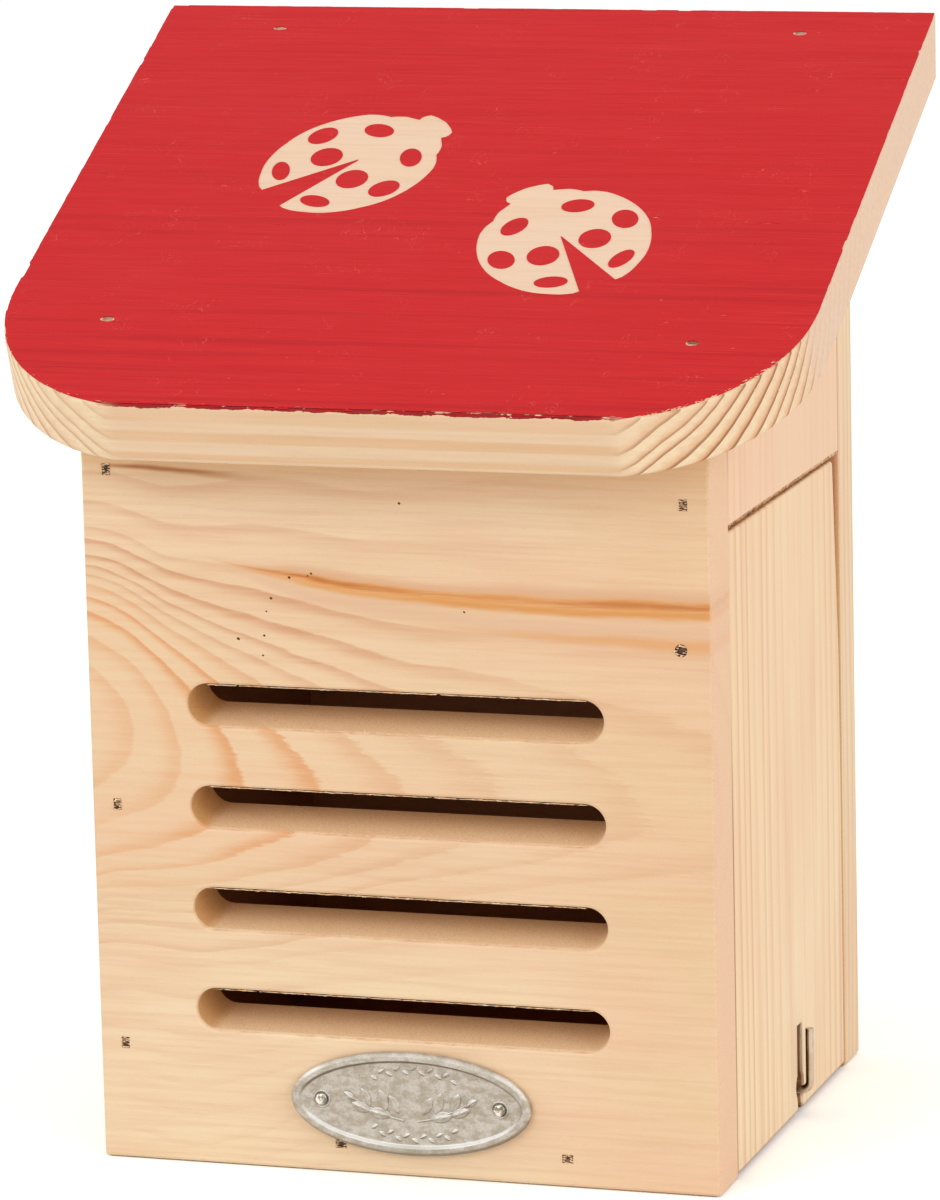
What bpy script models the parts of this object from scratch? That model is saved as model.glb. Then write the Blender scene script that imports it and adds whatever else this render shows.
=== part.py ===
"""Ladybird house: a slotted pine box under a sloping roof board, with a swinging door in its right side.

The front faces -Y and the door faces +X. The house stands on z = 0, with the origin under the middle of
its outline. Lengths are in metres.
"""

import math

import bmesh
import bpy
from mathutils import Matrix, Vector

# Box
house_width = 0.135
house_depth = 0.1154
front_board = 0.014
side_board = 0.013
back_board = 0.013
floor_board = 0.012
edge_round = 0.0007
board_gap = 0.0003
overrun = 0.002

# Roof board
roof_board = 0.013
roof_front_height = 0.1747
roof_pitch = math.radians(26)
roof_side_overhang = 0.01935
roof_front_overhang = 0.0205
roof_corner_radius = 0.040
roof_corner_fold = math.radians(10)
roof_front_lean = 0.0016
roof_edge_round = 0.0007

# Slots through the front panel, a little left of its middle, that climb towards the inside to keep rain out
slot_count = 4
slot_length = 0.090
slot_height = 0.0088
slot_pitch = 0.0217
slot_lowest = 0.0334
slot_shift = -0.0007
slot_rise = 0.0025

# Right side: a fixed upper piece, and the door sawn from the same board
upper_side_height = 0.0294
swing_clearance = 0.0005
door_play = 0.0005
door_lift = 0.0008
door_relief = 0.0038
door_relief_length = 0.046

# Round pins that the door swings on
pivot_below_top = 0.022
pin_radius = 0.0008
pin_head_radius = 0.00105
pin_head_depth = 0.001
pin_length = 0.036
pin_point = 0.002
pin_play = 0.0003

# T-headed brads
brad_length = 0.025
brad_head = 0.0021
brad_shank = 0.0013
brad_width = 0.0015
brad_head_depth = 0.0008
brad_shoulder = 0.0004
brad_point = 0.002
brad_tip = 0.0003
brad_play = 0.00015
brad_sink = 0.0004
roof_brad_sink = 0.0009
brad_inset = 0.0056
side_brad_height_shares = {"bottom": 0.150, "middle": 0.458, "top": 0.883}
upper_side_brad_share = 0.22
floor_brad_width_shares = {"left": -0.108, "right": 0.258}
roof_brad_width_shares = {
    "front_left": -0.466,
    "front_right": 0.470,
    "back_left": -0.437,
    "back_right": 0.437,
}
roof_brad_board_shares = {
    "front_left": 0.49,
    "front_right": 0.30,
    "back_left": 0.63,
    "back_right": 0.60,
}

# Oval cast plate and its two domed pins
plate_length = 0.0523
plate_height = 0.0221
plate_thickness = 0.0018
plate_rim = 0.0024
plate_recess = 0.0008
plate_edge_round = 0.0005
plate_lift = 0.0049
plate_offset = 0.0014
plate_pin_inset = 0.0067
plate_pin_head_radius = 0.0014
plate_pin_head_height = 0.0008
plate_pin_radius = 0.0006
plate_pin_length = 0.010

# Turning wire hook that holds the door, and the keyed slot that passes it
hook_wire = 0.0018
hook_height = 0.0054
hook_standoff = 0.0023
hook_bend = 0.0014
hook_leg = 0.0137
hook_grip = 0.012
hook_depth_share = 0.566
hook_slot_width = 0.004
hook_slot_clearance = 0.0008
hook_hole_radius = 0.0033
hook_hole_rise = 0.0009

# Hole that hangs the back panel on a screw
hang_hole_radius = 0.004
hang_hole_drop = 0.030

# Fineness of the round shapes
quarter_steps = 8
corner_steps = 16
round_steps = 16
plate_steps = 48
weld_distance = 0.00001

# Places worked out from the sizes above
nose_half_angle = (math.pi / 2 + math.atan(roof_front_lean / roof_board)) / 2
nose_round = roof_edge_round * math.tan(nose_half_angle)
roof_nose_loss = nose_round * (math.cos(roof_pitch - nose_half_angle) / math.sin(nose_half_angle) - 1)
front_y = (roof_front_overhang - roof_nose_loss - house_depth) / 2
back_y = front_y + house_depth
inner_front_y = front_y + front_board
inner_back_y = back_y - back_board
side_x = house_width / 2
inner_side_x = side_x - side_board


def roof_top(y):
    return roof_front_height + (y - front_y) * math.tan(roof_pitch)


def roof_under(y):
    return roof_top(y) - roof_board / math.cos(roof_pitch)


upper_side_foot = roof_under(inner_front_y) - upper_side_height
door_top_gap = math.hypot(side_board / 2, pivot_below_top) - pivot_below_top + swing_clearance
door_top = upper_side_foot - door_top_gap
door_front_y = inner_front_y + door_play
door_back_y = inner_back_y - door_play
pivot_x = side_x - side_board / 2
pivot_height = door_top - pivot_below_top
hook_y = inner_front_y + (inner_back_y - inner_front_y) * hook_depth_share
plate_centre = (plate_offset, plate_lift + plate_height / 2)


def clear_scene():
    for obj in list(bpy.data.objects):
        bpy.data.objects.remove(obj, do_unlink=True)


def new_collection(name, parent):
    made = bpy.data.collections.new(name)
    parent.children.link(made)
    return made


def new_material(name, colour, roughness, metallic=0.0):
    made = bpy.data.materials.new(name)
    made.use_nodes = True
    shader = made.node_tree.nodes["Principled BSDF"]
    shader.inputs["Base Color"].default_value = (*colour, 1.0)
    shader.inputs["Roughness"].default_value = roughness
    shader.inputs["Metallic"].default_value = metallic
    return made


def mesh_from(shape, name):
    made = bpy.data.meshes.new(name)
    shape.to_mesh(made)
    shape.free()
    return made


def place(name, data, location=(0, 0, 0), rotation=(0, 0, 0), material=None):
    """Put a mesh or curve into the house as a named piece with its own material."""
    piece = bpy.data.objects.new(name, data)
    piece.location = location
    piece.rotation_euler = rotation
    house.objects.link(piece)
    if material:
        own = material.copy()
        own.name = name
        data.materials.append(own)
    return piece


def place_cutter(name, data, location=(0, 0, 0), rotation=(0, 0, 0)):
    cutter = bpy.data.objects.new(name, data)
    cutter.location = location
    cutter.rotation_euler = rotation
    cutter.display_type = "WIRE"
    cutter.hide_render = True
    cutters.objects.link(cutter)
    return cutter


def cut(piece, cutter):
    modifier = piece.modifiers.new(cutter.name, "BOOLEAN")
    modifier.operation = "DIFFERENCE"
    modifier.solver = "EXACT"
    modifier.object = cutter


def round_edges(piece, radius, segments=2):
    modifier = piece.modifiers.new("eased edges", "BEVEL")
    modifier.width = radius
    modifier.segments = segments
    modifier.limit_method = "ANGLE"
    modifier.angle_limit = math.radians(30)


def smooth_round_faces(data):
    data.shade_smooth()
    data.set_sharp_from_angle(angle=math.radians(35))


def block(name, sides):
    shape = bmesh.new()
    bmesh.ops.create_cube(shape, size=1, matrix=Matrix.Diagonal((*sides, 1)))
    return mesh_from(shape, name)


def rod(name, radius, length, steps=round_steps):
    """A plain cylinder along Z, centred."""
    shape = bmesh.new()
    bmesh.ops.create_cone(
        shape, cap_ends=True, segments=steps, radius1=radius, radius2=radius, depth=length
    )
    made = mesh_from(shape, name)
    smooth_round_faces(made)
    return made


def flat_board(name, outlines, thickness):
    """A board whose outline and openings are closed loops in its own XY plane, as one mesh."""
    curve = bpy.data.curves.new(name, "CURVE")
    curve.dimensions = "2D"
    curve.fill_mode = "BOTH"
    curve.extrude = thickness / 2
    for outline in outlines:
        spline = curve.splines.new("POLY")
        spline.points.add(len(outline) - 1)
        for point, (x, y) in zip(spline.points, outline):
            point.co = (x, y, 0, 1)
        spline.use_cyclic_u = True
    guide = bpy.data.objects.new(name, curve)
    bpy.context.scene.collection.objects.link(guide)
    graph = bpy.context.evaluated_depsgraph_get()
    filled = bpy.data.meshes.new_from_object(guide.evaluated_get(graph))
    bpy.data.objects.remove(guide)
    bpy.data.curves.remove(curve)
    shape = bmesh.new()
    shape.from_mesh(filled)
    bpy.data.meshes.remove(filled)
    bmesh.ops.remove_doubles(shape, verts=shape.verts, dist=weld_distance)
    bmesh.ops.dissolve_limit(shape, angle_limit=math.radians(1), verts=shape.verts, edges=shape.edges)
    bmesh.ops.recalc_face_normals(shape, faces=shape.faces)
    board = mesh_from(shape, name)
    smooth_round_faces(board)
    return board


def turned(name, profile, steps=round_steps):
    """A turned piece: its profile, in pairs of radius and height, swept round Z."""
    data = bpy.data.meshes.new(name)
    points = [(radius, 0, height) for radius, height in profile]
    data.from_pydata(points, [(i, i + 1) for i in range(len(points) - 1)], [])

    def spin(piece):
        modifier = piece.modifiers.new("turned", "SCREW")
        modifier.steps = steps
        modifier.render_steps = steps
        modifier.use_merge_vertices = True
        modifier.merge_threshold = weld_distance
        modifier.use_smooth_shade = True

    return data, spin


def arc(centre, radius, start, end, steps):
    """Points along an arc between two angles in degrees."""
    turns = [math.radians(start + (end - start) * i / steps) for i in range(steps + 1)]
    return [(centre[0] + radius * math.cos(turn), centre[1] + radius * math.sin(turn)) for turn in turns]


def round_ended_slot(grown):
    """The outline of a slot round its own middle, grown by this much all round."""
    reach = (slot_length - slot_height) / 2
    radius = slot_height / 2 + grown
    left_end = arc((-reach, 0), radius, 90, 270, corner_steps)
    right_end = arc((reach, 0), radius, -90, 90, corner_steps)
    return left_end + right_end


def slot_cutter(name):
    """A round-ended cutter that climbs inwards and flares at both faces to ease the slot's edges."""
    slant = math.pi / 4
    rise = edge_round * (1 - math.cos(slant))
    flare = [
        (-rise, edge_round * (1 + math.sin(slant))),
        (rise, edge_round * (1 - math.sin(slant))),
        (edge_round, 0),
    ]
    levels = [(front_board / 2 - depth, grown) for depth, grown in flare]
    levels += [(-height, grown) for height, grown in reversed(levels)]
    shape = bmesh.new()
    rings = []
    for height, grown in levels:
        climb = slot_rise * (0.5 - height / front_board)
        points = [shape.verts.new((x, y + climb, height)) for x, y in round_ended_slot(grown)]
        rings.append([shape.edges.new(pair) for pair in zip(points, points[1:] + points[:1])])
    for upper, lower in zip(rings, rings[1:]):
        bmesh.ops.bridge_loops(shape, edges=upper + lower)
    for end in (rings[0], rings[-1]):
        bmesh.ops.edgeloop_fill(shape, edges=end)
    bmesh.ops.recalc_face_normals(shape, faces=shape.faces)
    return mesh_from(shape, name)


def roof_frame():
    """The roof's own frame: X across, Y up the slope, with its origin on the upper face over the front."""
    return Matrix.Translation((0, front_y, roof_front_height)) @ Matrix.Rotation(roof_pitch, 4, "X")


def make_roof():
    """The roof board: its lower front edge stands forward of a square cut, and its corners fold off it."""
    half_width = side_x + roof_side_overhang
    front = -roof_front_overhang / math.cos(roof_pitch)
    back = house_depth / math.cos(roof_pitch) + roof_board * math.tan(roof_pitch) + overrun
    inner_x = half_width - roof_corner_radius
    inner_v = front + roof_corner_radius * math.cos(roof_corner_fold)
    fold = math.degrees(roof_corner_fold)
    outline = arc((-inner_x, inner_v), roof_corner_radius, 180, 270 - fold, corner_steps)
    outline += arc((inner_x, inner_v), roof_corner_radius, 270 + fold, 360, corner_steps)
    outline += [(half_width, back), (-half_width, back)]
    data = flat_board("roof_board", [outline], roof_board)
    for point in data.vertices:
        if point.co.z < 0 and point.co.y < inner_v + overrun:
            point.co.y -= roof_front_lean
    data.transform(Matrix.Translation((0, 0, -roof_board / 2)))
    board = place("roof_board", data, roof_frame().translation, (roof_pitch, 0, 0), pine)
    data.materials.append(red_paint)
    for face in data.polygons:
        face.material_index = int(face.normal.z > 0.5)
    round_edges(board, roof_edge_round, 3)
    trim = block("roof_trim", (2 * half_width + overrun, 2 * roof_board, 4 * roof_board))
    cut(board, place_cutter("roof_trim", trim, (0, back_y + roof_board, roof_top(back_y))))
    return board


def make_roof_space():
    """The space over the walls: its lower face is the roof's underside, less the gap between boards."""
    height = house_depth
    sides = (house_width + 2 * roof_side_overhang, 2 * (house_depth + roof_front_overhang), height)
    middle = roof_frame() @ Vector((0, house_depth / 2, height / 2 - roof_board - board_gap))
    return place_cutter("roof_space", block("roof_space", sides), middle, (roof_pitch, 0, 0))


def make_front_panel():
    top = roof_under(inner_front_y) + overrun
    middle_y = front_y + front_board / 2
    data = block("front_panel", (house_width, front_board, top))
    panel = place("front_panel", data, (0, middle_y, top / 2), (0, 0, 0), pine)
    round_edges(panel, edge_round)
    cut(panel, roof_space)
    for i in range(slot_count):
        spot = (slot_shift, middle_y, slot_lowest + slot_pitch * i)
        cut(panel, place_cutter(f"slot_{i + 1}", slot_cutter(f"slot_{i + 1}"), spot, (math.pi / 2, 0, 0)))
    return panel


def make_back_panel():
    top = roof_under(back_y) + overrun
    data = block("back_panel", (house_width, back_board, top))
    panel = place("back_panel", data, (0, back_y - back_board / 2, top / 2), (0, 0, 0), pine)
    round_edges(panel, edge_round)
    cut(panel, roof_space)
    hole = rod("hang_hole", hang_hole_radius, back_board + 2 * overrun, 2 * round_steps)
    height = roof_under(inner_back_y) - hang_hole_drop
    cut(panel, place_cutter("hang_hole", hole, (0, back_y - back_board / 2, height), (math.pi / 2, 0, 0)))
    return panel


def make_side(name, left, foot):
    """A side board from this height up to the roof, with its inner and outer faces at left and right."""
    top = roof_under(inner_back_y) + overrun
    depth = inner_back_y - inner_front_y - 2 * board_gap
    data = block(name, (side_board, depth, top - foot))
    middle = (left + side_board / 2, (inner_front_y + inner_back_y) / 2, (foot + top) / 2)
    board = place(name, data, middle, (0, 0, 0), pine)
    round_edges(board, edge_round)
    cut(board, roof_space)
    return board


def make_floor():
    width = 2 * (inner_side_x - board_gap)
    depth = inner_back_y - inner_front_y - 2 * board_gap
    data = block("floor_board", (width, depth, floor_board))
    middle = (0, (inner_front_y + inner_back_y) / 2, floor_board / 2)
    board = place("floor_board", data, middle, (0, 0, 0), pine)
    round_edges(board, edge_round)
    hole = rod("hook_screw_hole", hook_wire / 2 + brad_play, 2 * (hook_grip + brad_play))
    spot = (inner_side_x - board_gap, hook_y, hook_height)
    cut(board, place_cutter("hook_screw_hole", hole, spot, (0, math.pi / 2, 0)))
    return board


def make_door():
    """The door, drawn from its pivot: its rear edge is planed away towards the top."""
    foot = door_lift - pivot_height
    top = door_top - pivot_height
    length = door_back_y - door_front_y
    outline = [
        (0, foot),
        (length, foot),
        (length, top - door_relief_length),
        (length - door_relief, top),
        (0, top),
    ]
    data = flat_board("side_door", [outline], side_board)
    hinge_line = (pivot_x, door_front_y, pivot_height)
    door = place("side_door", data, hinge_line, (math.pi / 2, 0, math.pi / 2), pine)
    round_edges(door, edge_round)
    slot_top = hook_height + hook_leg + hook_slot_clearance
    slot_sides = (side_board + 2 * overrun, hook_slot_width, slot_top + overrun)
    slot_middle = (pivot_x, hook_y, (slot_top - overrun) / 2)
    cut(door, place_cutter("hook_slot", block("hook_slot", slot_sides), slot_middle))
    hole = rod("hook_hole", hook_hole_radius, side_board + 2 * overrun)
    hole_middle = (pivot_x, hook_y, hook_height + hook_hole_rise)
    cut(door, place_cutter("hook_hole", hole, hole_middle, (0, math.pi / 2, 0)))
    return door


def make_pivot_pins(door, front_panel, back_panel):
    """Two round pins, one through each panel, on one line along Y."""
    profile = [
        (0, 0),
        (pin_head_radius, 0),
        (pin_head_radius, -pin_head_depth),
        (pin_radius, -pin_head_depth),
        (pin_radius, pin_point - pin_length),
        (0, -pin_length),
    ]
    bore_radius = pin_radius + pin_play
    bore_end = -pin_length - pin_play
    shoulder = -pin_head_depth - pin_play
    bore_profile = [
        (0, overrun),
        (pin_head_radius + pin_play, overrun),
        (pin_head_radius + pin_play, shoulder),
        (bore_radius, shoulder - pin_play),
        (bore_radius, bore_end),
        (0, bore_end),
    ]
    for end, panel, face_y, turn in (
        ("front", front_panel, front_y + brad_sink, math.pi / 2),
        ("rear", back_panel, back_y - brad_sink, -math.pi / 2),
    ):
        data, spin = turned("door_pivot_nail_" + end, profile)
        pin = place("door_pivot_nail_" + end, data, (pivot_x, face_y, pivot_height), (turn, 0, 0), steel)
        spin(pin)
        data, spin = turned("pivot_bore_" + end, bore_profile)
        bore = place_cutter("pivot_bore_" + end, data, pin.location, pin.rotation_euler)
        spin(bore)
        cut(panel, bore)
        cut(door, bore)


def brad_outline(play, rise):
    """Half of a brad's T outline mirrored to the whole, hanging from its head, or with play, its hole."""
    half = [
        (brad_head / 2 + play, rise),
        (brad_head / 2 + play, -brad_head_depth - play),
        (brad_shank / 2 + play, -brad_head_depth - brad_shoulder - play),
        (brad_shank / 2 + play, brad_point - brad_length - play),
        (brad_tip / 2 + play, -brad_length - play),
    ]
    return half + [(-x, y) for x, y in reversed(half)]


def drive_brad(name, location, rotation, boards):
    """One brad with its head at this place, and its hole through each of these boards."""
    upright = Matrix.Rotation(math.pi / 2, 4, "X")
    data = flat_board(name, [brad_outline(0, 0)], brad_width)
    data.transform(upright)
    place(name, data, location, rotation, steel)
    hole = flat_board(name + "_hole", [brad_outline(brad_play, overrun)], brad_width + 2 * brad_play)
    hole.transform(upright)
    cutter = place_cutter(name + "_hole", hole, location, rotation)
    for board in boards:
        cut(board, cutter)


def nail_walls(front_panel, back_panel, left_side, upper_side, floor):
    """Brads through the front and back panels into the sides and the floor."""
    brad_x = side_x - brad_inset
    across = math.pi / 2
    for end, panel, face_y, side_y, turn in (
        ("front", front_panel, front_y + brad_sink, inner_front_y, math.pi / 2),
        ("rear", back_panel, back_y - brad_sink, inner_back_y, -math.pi / 2),
    ):
        side_height = roof_under(side_y)
        for spot, share in side_brad_height_shares.items():
            at = (-brad_x, face_y, side_height * share)
            drive_brad(f"{end}_brad_left_{spot}", at, (turn, across, 0), (panel, left_side))
        at = (brad_x, face_y, upper_side_foot + (side_height - upper_side_foot) * upper_side_brad_share)
        drive_brad(f"{end}_brad_right_top", at, (turn, across, 0), (panel, upper_side))
        for spot, share in floor_brad_width_shares.items():
            at = (house_width * share, face_y, floor_board / 2)
            drive_brad(f"{end}_brad_floor_{spot}", at, (turn, 0, 0), (panel, floor))


def nail_roof(roof, front_panel, back_panel):
    """Plumb brads through the roof board into the top edges of the front and back panels."""
    for spot, share in roof_brad_width_shares.items():
        depth_share = roof_brad_board_shares[spot]
        if spot.startswith("front"):
            panel, y = front_panel, front_y + front_board * depth_share
        else:
            panel, y = back_panel, back_y - back_board * depth_share
        at = (house_width * share, y, roof_top(y) - roof_brad_sink)
        drive_brad("roof_brad_" + spot, at, (0, 0, 0), (roof, panel))


def make_plate(front_panel):
    """An oval plate with a raised rim round a sunk panel, held by two domed pins."""
    shape = bmesh.new()
    oval = Matrix.Diagonal((plate_length / 2, plate_height / 2, plate_thickness, 1))
    bmesh.ops.create_cone(
        shape, cap_ends=True, segments=plate_steps, radius1=1, radius2=1, depth=1, matrix=oval
    )
    shape.normal_update()
    face = max(shape.faces, key=lambda side: side.calc_center_median().z)
    bmesh.ops.inset_region(shape, faces=[face], thickness=plate_rim, use_even_offset=True)
    bmesh.ops.translate(shape, verts=face.verts, vec=(0, 0, -plate_recess))
    data = mesh_from(shape, "oval_plate")
    smooth_round_faces(data)
    middle = (plate_centre[0], front_y - board_gap - plate_thickness / 2, plate_centre[1])
    plate = place("oval_plate", data, middle, (math.pi / 2, 0, 0), zinc)
    round_edges(plate, plate_edge_round)

    head_y = front_y - board_gap - plate_thickness + plate_recess - board_gap
    dome = arc((0, 0), 1, 90, 0, quarter_steps)
    profile = [(plate_pin_head_radius * x, plate_pin_head_height * y) for x, y in dome]
    profile += [
        (plate_pin_radius, 0),
        (plate_pin_radius, plate_pin_radius - plate_pin_length),
        (0, -plate_pin_length),
    ]
    reach = plate_length / 2 - plate_pin_inset
    for spot, x in (("left", plate_centre[0] - reach), ("right", plate_centre[0] + reach)):
        data, spin = turned("plate_nail_" + spot, profile)
        pin = place("plate_nail_" + spot, data, (x, head_y, plate_centre[1]), (math.pi / 2, 0, 0), steel)
        spin(pin)
        bore = rod("plate_bore_" + spot, plate_pin_radius + brad_play, 2 * (plate_pin_length + brad_play))
        cutter = place_cutter("plate_bore_" + spot, bore, pin.location, pin.rotation_euler)
        cut(plate, cutter)
        cut(front_panel, cutter)


def make_hook():
    """The wire hook: a shank screwed into the floor's end, a bend, and a leg that stands upright at rest."""
    wire = bpy.data.curves.new("latch_hook", "CURVE")
    wire.dimensions = "3D"
    wire.bevel_depth = hook_wire / 2
    wire.bevel_resolution = 3
    wire.use_fill_caps = True
    route = [(board_gap - side_board - hook_grip, 0)]
    route += arc((hook_standoff - hook_bend, hook_bend), hook_bend, -90, 0, quarter_steps)
    route += [(hook_standoff, hook_leg)]
    spline = wire.splines.new("POLY")
    spline.points.add(len(route) - 1)
    for point, (x, z) in zip(spline.points, route):
        point.co = (x, 0, z, 1)
    place("latch_hook", wire, (side_x, hook_y, hook_height), (0, 0, 0), plated_wire)


clear_scene()
house = new_collection("ladybird_house", bpy.context.scene.collection)
cutters = new_collection("cutters", bpy.context.scene.collection)
pine = new_material("pine", (0.80, 0.56, 0.34), 0.55)
red_paint = new_material("red_paint", (0.63, 0.03, 0.03), 0.42)
steel = new_material("steel", (0.30, 0.26, 0.21), 0.45, 0.8)
plated_wire = new_material("plated_wire", (0.72, 0.70, 0.64), 0.28, 1.0)
zinc = new_material("zinc", (0.58, 0.56, 0.51), 0.48, 0.9)

roof_space = make_roof_space()
roof = make_roof()
front = make_front_panel()
back = make_back_panel()
left = make_side("left_side_panel", -side_x, 0)
upper = make_side("right_side_upper", inner_side_x, upper_side_foot)
floor = make_floor()
door = make_door()
make_pivot_pins(door, front, back)
nail_walls(front, back, left, upper, floor)
nail_roof(roof, front, back)
make_plate(front)
make_hook()
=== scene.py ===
"""A pine ladybird house: planed boards with their growth rings, a red painted roof with bare ladybirds,
a cast oval plate on two domed pins, and a plated wire hook that holds the side door."""

import math
import random

import bpy
from mathutils import Matrix, Vector


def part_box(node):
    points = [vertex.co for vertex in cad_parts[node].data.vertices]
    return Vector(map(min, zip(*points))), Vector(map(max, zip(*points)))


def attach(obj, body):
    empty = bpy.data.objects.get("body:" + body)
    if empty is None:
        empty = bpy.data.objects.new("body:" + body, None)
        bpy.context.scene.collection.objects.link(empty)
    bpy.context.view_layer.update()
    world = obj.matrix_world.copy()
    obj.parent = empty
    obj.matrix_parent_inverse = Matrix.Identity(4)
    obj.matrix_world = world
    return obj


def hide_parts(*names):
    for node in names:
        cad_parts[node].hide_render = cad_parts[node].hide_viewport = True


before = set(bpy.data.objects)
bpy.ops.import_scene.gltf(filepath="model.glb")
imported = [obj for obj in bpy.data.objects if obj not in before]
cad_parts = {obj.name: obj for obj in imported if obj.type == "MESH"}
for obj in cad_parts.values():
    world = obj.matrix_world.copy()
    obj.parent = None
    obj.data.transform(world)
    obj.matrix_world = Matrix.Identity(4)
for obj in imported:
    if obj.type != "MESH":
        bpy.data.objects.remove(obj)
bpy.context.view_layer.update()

MM = 0.001

# The boards' faces, read from the frame
front_low, front_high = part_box("front_panel")
roof_low, roof_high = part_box("roof_board")
floor_low, floor_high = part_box("floor_board")
upper_low, upper_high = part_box("right_side_upper")
door_low, door_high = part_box("side_door")
back_low, back_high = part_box("back_panel")
FRONT_FACE = front_low.y
HALF_WIDTH = front_high.x
INSIDE_MIDDLE = (front_high.y + back_low.y) / 2 / MM
INSIDE_HALF = (back_low.y - front_high.y) / 2 / MM
hook_low, hook_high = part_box("latch_hook")
plate_low, plate_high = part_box("oval_plate")
HOOK_Y = (hook_low.y + hook_high.y) / 2 / MM

# The roof board's own frame: X across, Y up the slope from over the front face, Z out of the paint
ROOF_PITCH = math.radians(26)
ROOF_HEIGHT = 174.7 * MM
ROOF_FRAME = Matrix.Translation((0, FRONT_FACE, ROOF_HEIGHT)) @ Matrix.Rotation(ROOF_PITCH, 4, "X")
ROOF_FRONT = (roof_low.y - FRONT_FACE) / math.cos(ROOF_PITCH)
ROOF_BACK = (roof_high.y - FRONT_FACE) / math.cos(ROOF_PITCH)
ROOF_CORNER = 40 * MM
ROOF_FOLD = math.radians(10)
ROOF_THICK = 13.0
ROOF_LEAN = 1.6

# What closes the play between nailed boards
JOINT_GAP = 0.30 * MM
END_ROUNDING = 0.9 * MM
KERF_LIP = 0.5 * MM
DOOR_PLAY = 0.05 * MM

# Paint film
PAINT_ABOVE = 0.12 * MM
PAINT_BELOW = 0.05 * MM
PAINT_INSET = 0.06 * MM

# Slots, which climb towards the inside
SLOT_LENGTH = 90 * MM
SLOT_HEIGHT = 8.8 * MM
SLOT_LOWEST = 33.4 * MM
SLOT_PITCH = 21.7 * MM
SLOT_SHIFT = -0.7 * MM
SLOT_RISE = 2.5 * MM
SLOT_COUNT = 4

# Oval plate
PLATE_LENGTH = 52.3 * MM
PLATE_HEIGHT = 22.1 * MM
PLATE_DEEP = 1.8 * MM
PLATE_SUNK = 0.75 * MM

# The plate's sprigs: each leaf's stem place along and across the plate, its turn in degrees and its size
SPRIG = ((2.6, -2.2, 62, 0.85), (4.2, -2.9, 12, 1.0), (5.4, -1.9, 74, 0.95), (8.6, -2.0, 20, 0.9),
         (8.9, -1.1, 66, 0.85), (12.0, 0.2, 34, 0.6))
SPRIG_STEM = ((1.6, -3.6), (4.0, -3.1), (6.6, -2.3), (9.0, -1.2), (11.2, -0.1), (12.6, 0.8))
GARLAND_STEPS = 11

# The photograph's camera
CAMERA_PLACE = Vector((0.40724, -1.25379, 0.37631))
CAMERA_RIGHT = Vector((0.95249816, 0.30366164, -0.02317031))
CAMERA_UP = Vector((-0.03787529, 0.19360729, 0.98034773))
CAMERA_BACK = Vector((0.30217994, -0.93290183, 0.19591186))
CAMERA_LENS = 190.489


# ---- helpers for shapes

def deselect():
    bpy.ops.object.select_all(action="DESELECT")


def only(piece):
    """Select this piece alone."""
    deselect()
    piece.select_set(True)
    bpy.context.view_layer.objects.active = piece


def settle(piece, name, body, material):
    """Put a finished piece's place into its mesh, and let it ride on its body."""
    only(piece)
    bpy.ops.object.transform_apply(location=True, rotation=True, scale=True)
    piece.name = name
    piece.data.name = name
    piece.data.materials.clear()
    piece.data.materials.append(material)
    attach(piece, body)
    deselect()
    return piece


def apply_modifier(piece, kind, **settings):
    only(piece)
    modifier = piece.modifiers.new(kind.lower(), kind)
    for key, value in settings.items():
        setattr(modifier, key, value)
    bpy.ops.object.modifier_apply(modifier=modifier.name)


def smooth(piece, degrees=35):
    only(piece)
    bpy.ops.object.shade_smooth_by_angle(angle=math.radians(degrees))


def joined(pieces):
    deselect()
    for piece in pieces:
        piece.select_set(True)
    bpy.context.view_layer.objects.active = pieces[0]
    bpy.ops.object.join()
    return pieces[0]


def copy_of(piece, place=(0, 0, 0), turn=(0, 0, 0), size=(1, 1, 1)):
    twin = piece.copy()
    twin.data = piece.data.copy()
    twin.location = place
    twin.rotation_euler = turn
    twin.scale = size
    bpy.context.scene.collection.objects.link(twin)
    return twin


def flat_shape(name, outlines, thickness, rounding=0.0):
    """A closed slab from outlines in its own XY plane, as a mesh; what lies inside an opening stays solid."""
    curve = bpy.data.curves.new(name, "CURVE")
    curve.dimensions = "2D"
    curve.fill_mode = "BOTH"
    curve.extrude = thickness / 2
    curve.bevel_depth = rounding
    curve.bevel_resolution = 2
    for outline in outlines:
        spline = curve.splines.new("POLY")
        spline.points.add(len(outline) - 1)
        for point, (x, y) in zip(spline.points, outline):
            point.co = (x, y, 0, 1)
        spline.use_cyclic_u = True
    piece = bpy.data.objects.new(name, curve)
    bpy.context.scene.collection.objects.link(piece)
    only(piece)
    bpy.ops.object.convert(target="MESH")
    piece = bpy.context.view_layer.objects.active
    bpy.ops.object.mode_set(mode="EDIT")
    bpy.ops.mesh.select_all(action="SELECT")
    bpy.ops.mesh.remove_doubles(threshold=0.002 * MM)
    bpy.ops.mesh.normals_make_consistent(inside=False)
    bpy.ops.object.mode_set(mode="OBJECT")
    return piece


def arc(centre, radius, start, end, steps):
    turns = [math.radians(start + (end - start) * i / steps) for i in range(steps + 1)]
    return [(centre[0] + radius * math.cos(turn), centre[1] + radius * math.sin(turn)) for turn in turns]


# ---- helpers for materials

def shade(red, green, blue):
    """A colour in 0 to 255 steps, as light."""
    def light(step):
        share = step / 255
        return share / 12.92 if share <= 0.04045 else ((share + 0.055) / 1.055) ** 2.4

    return (light(red), light(green), light(blue), 1.0)


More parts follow.
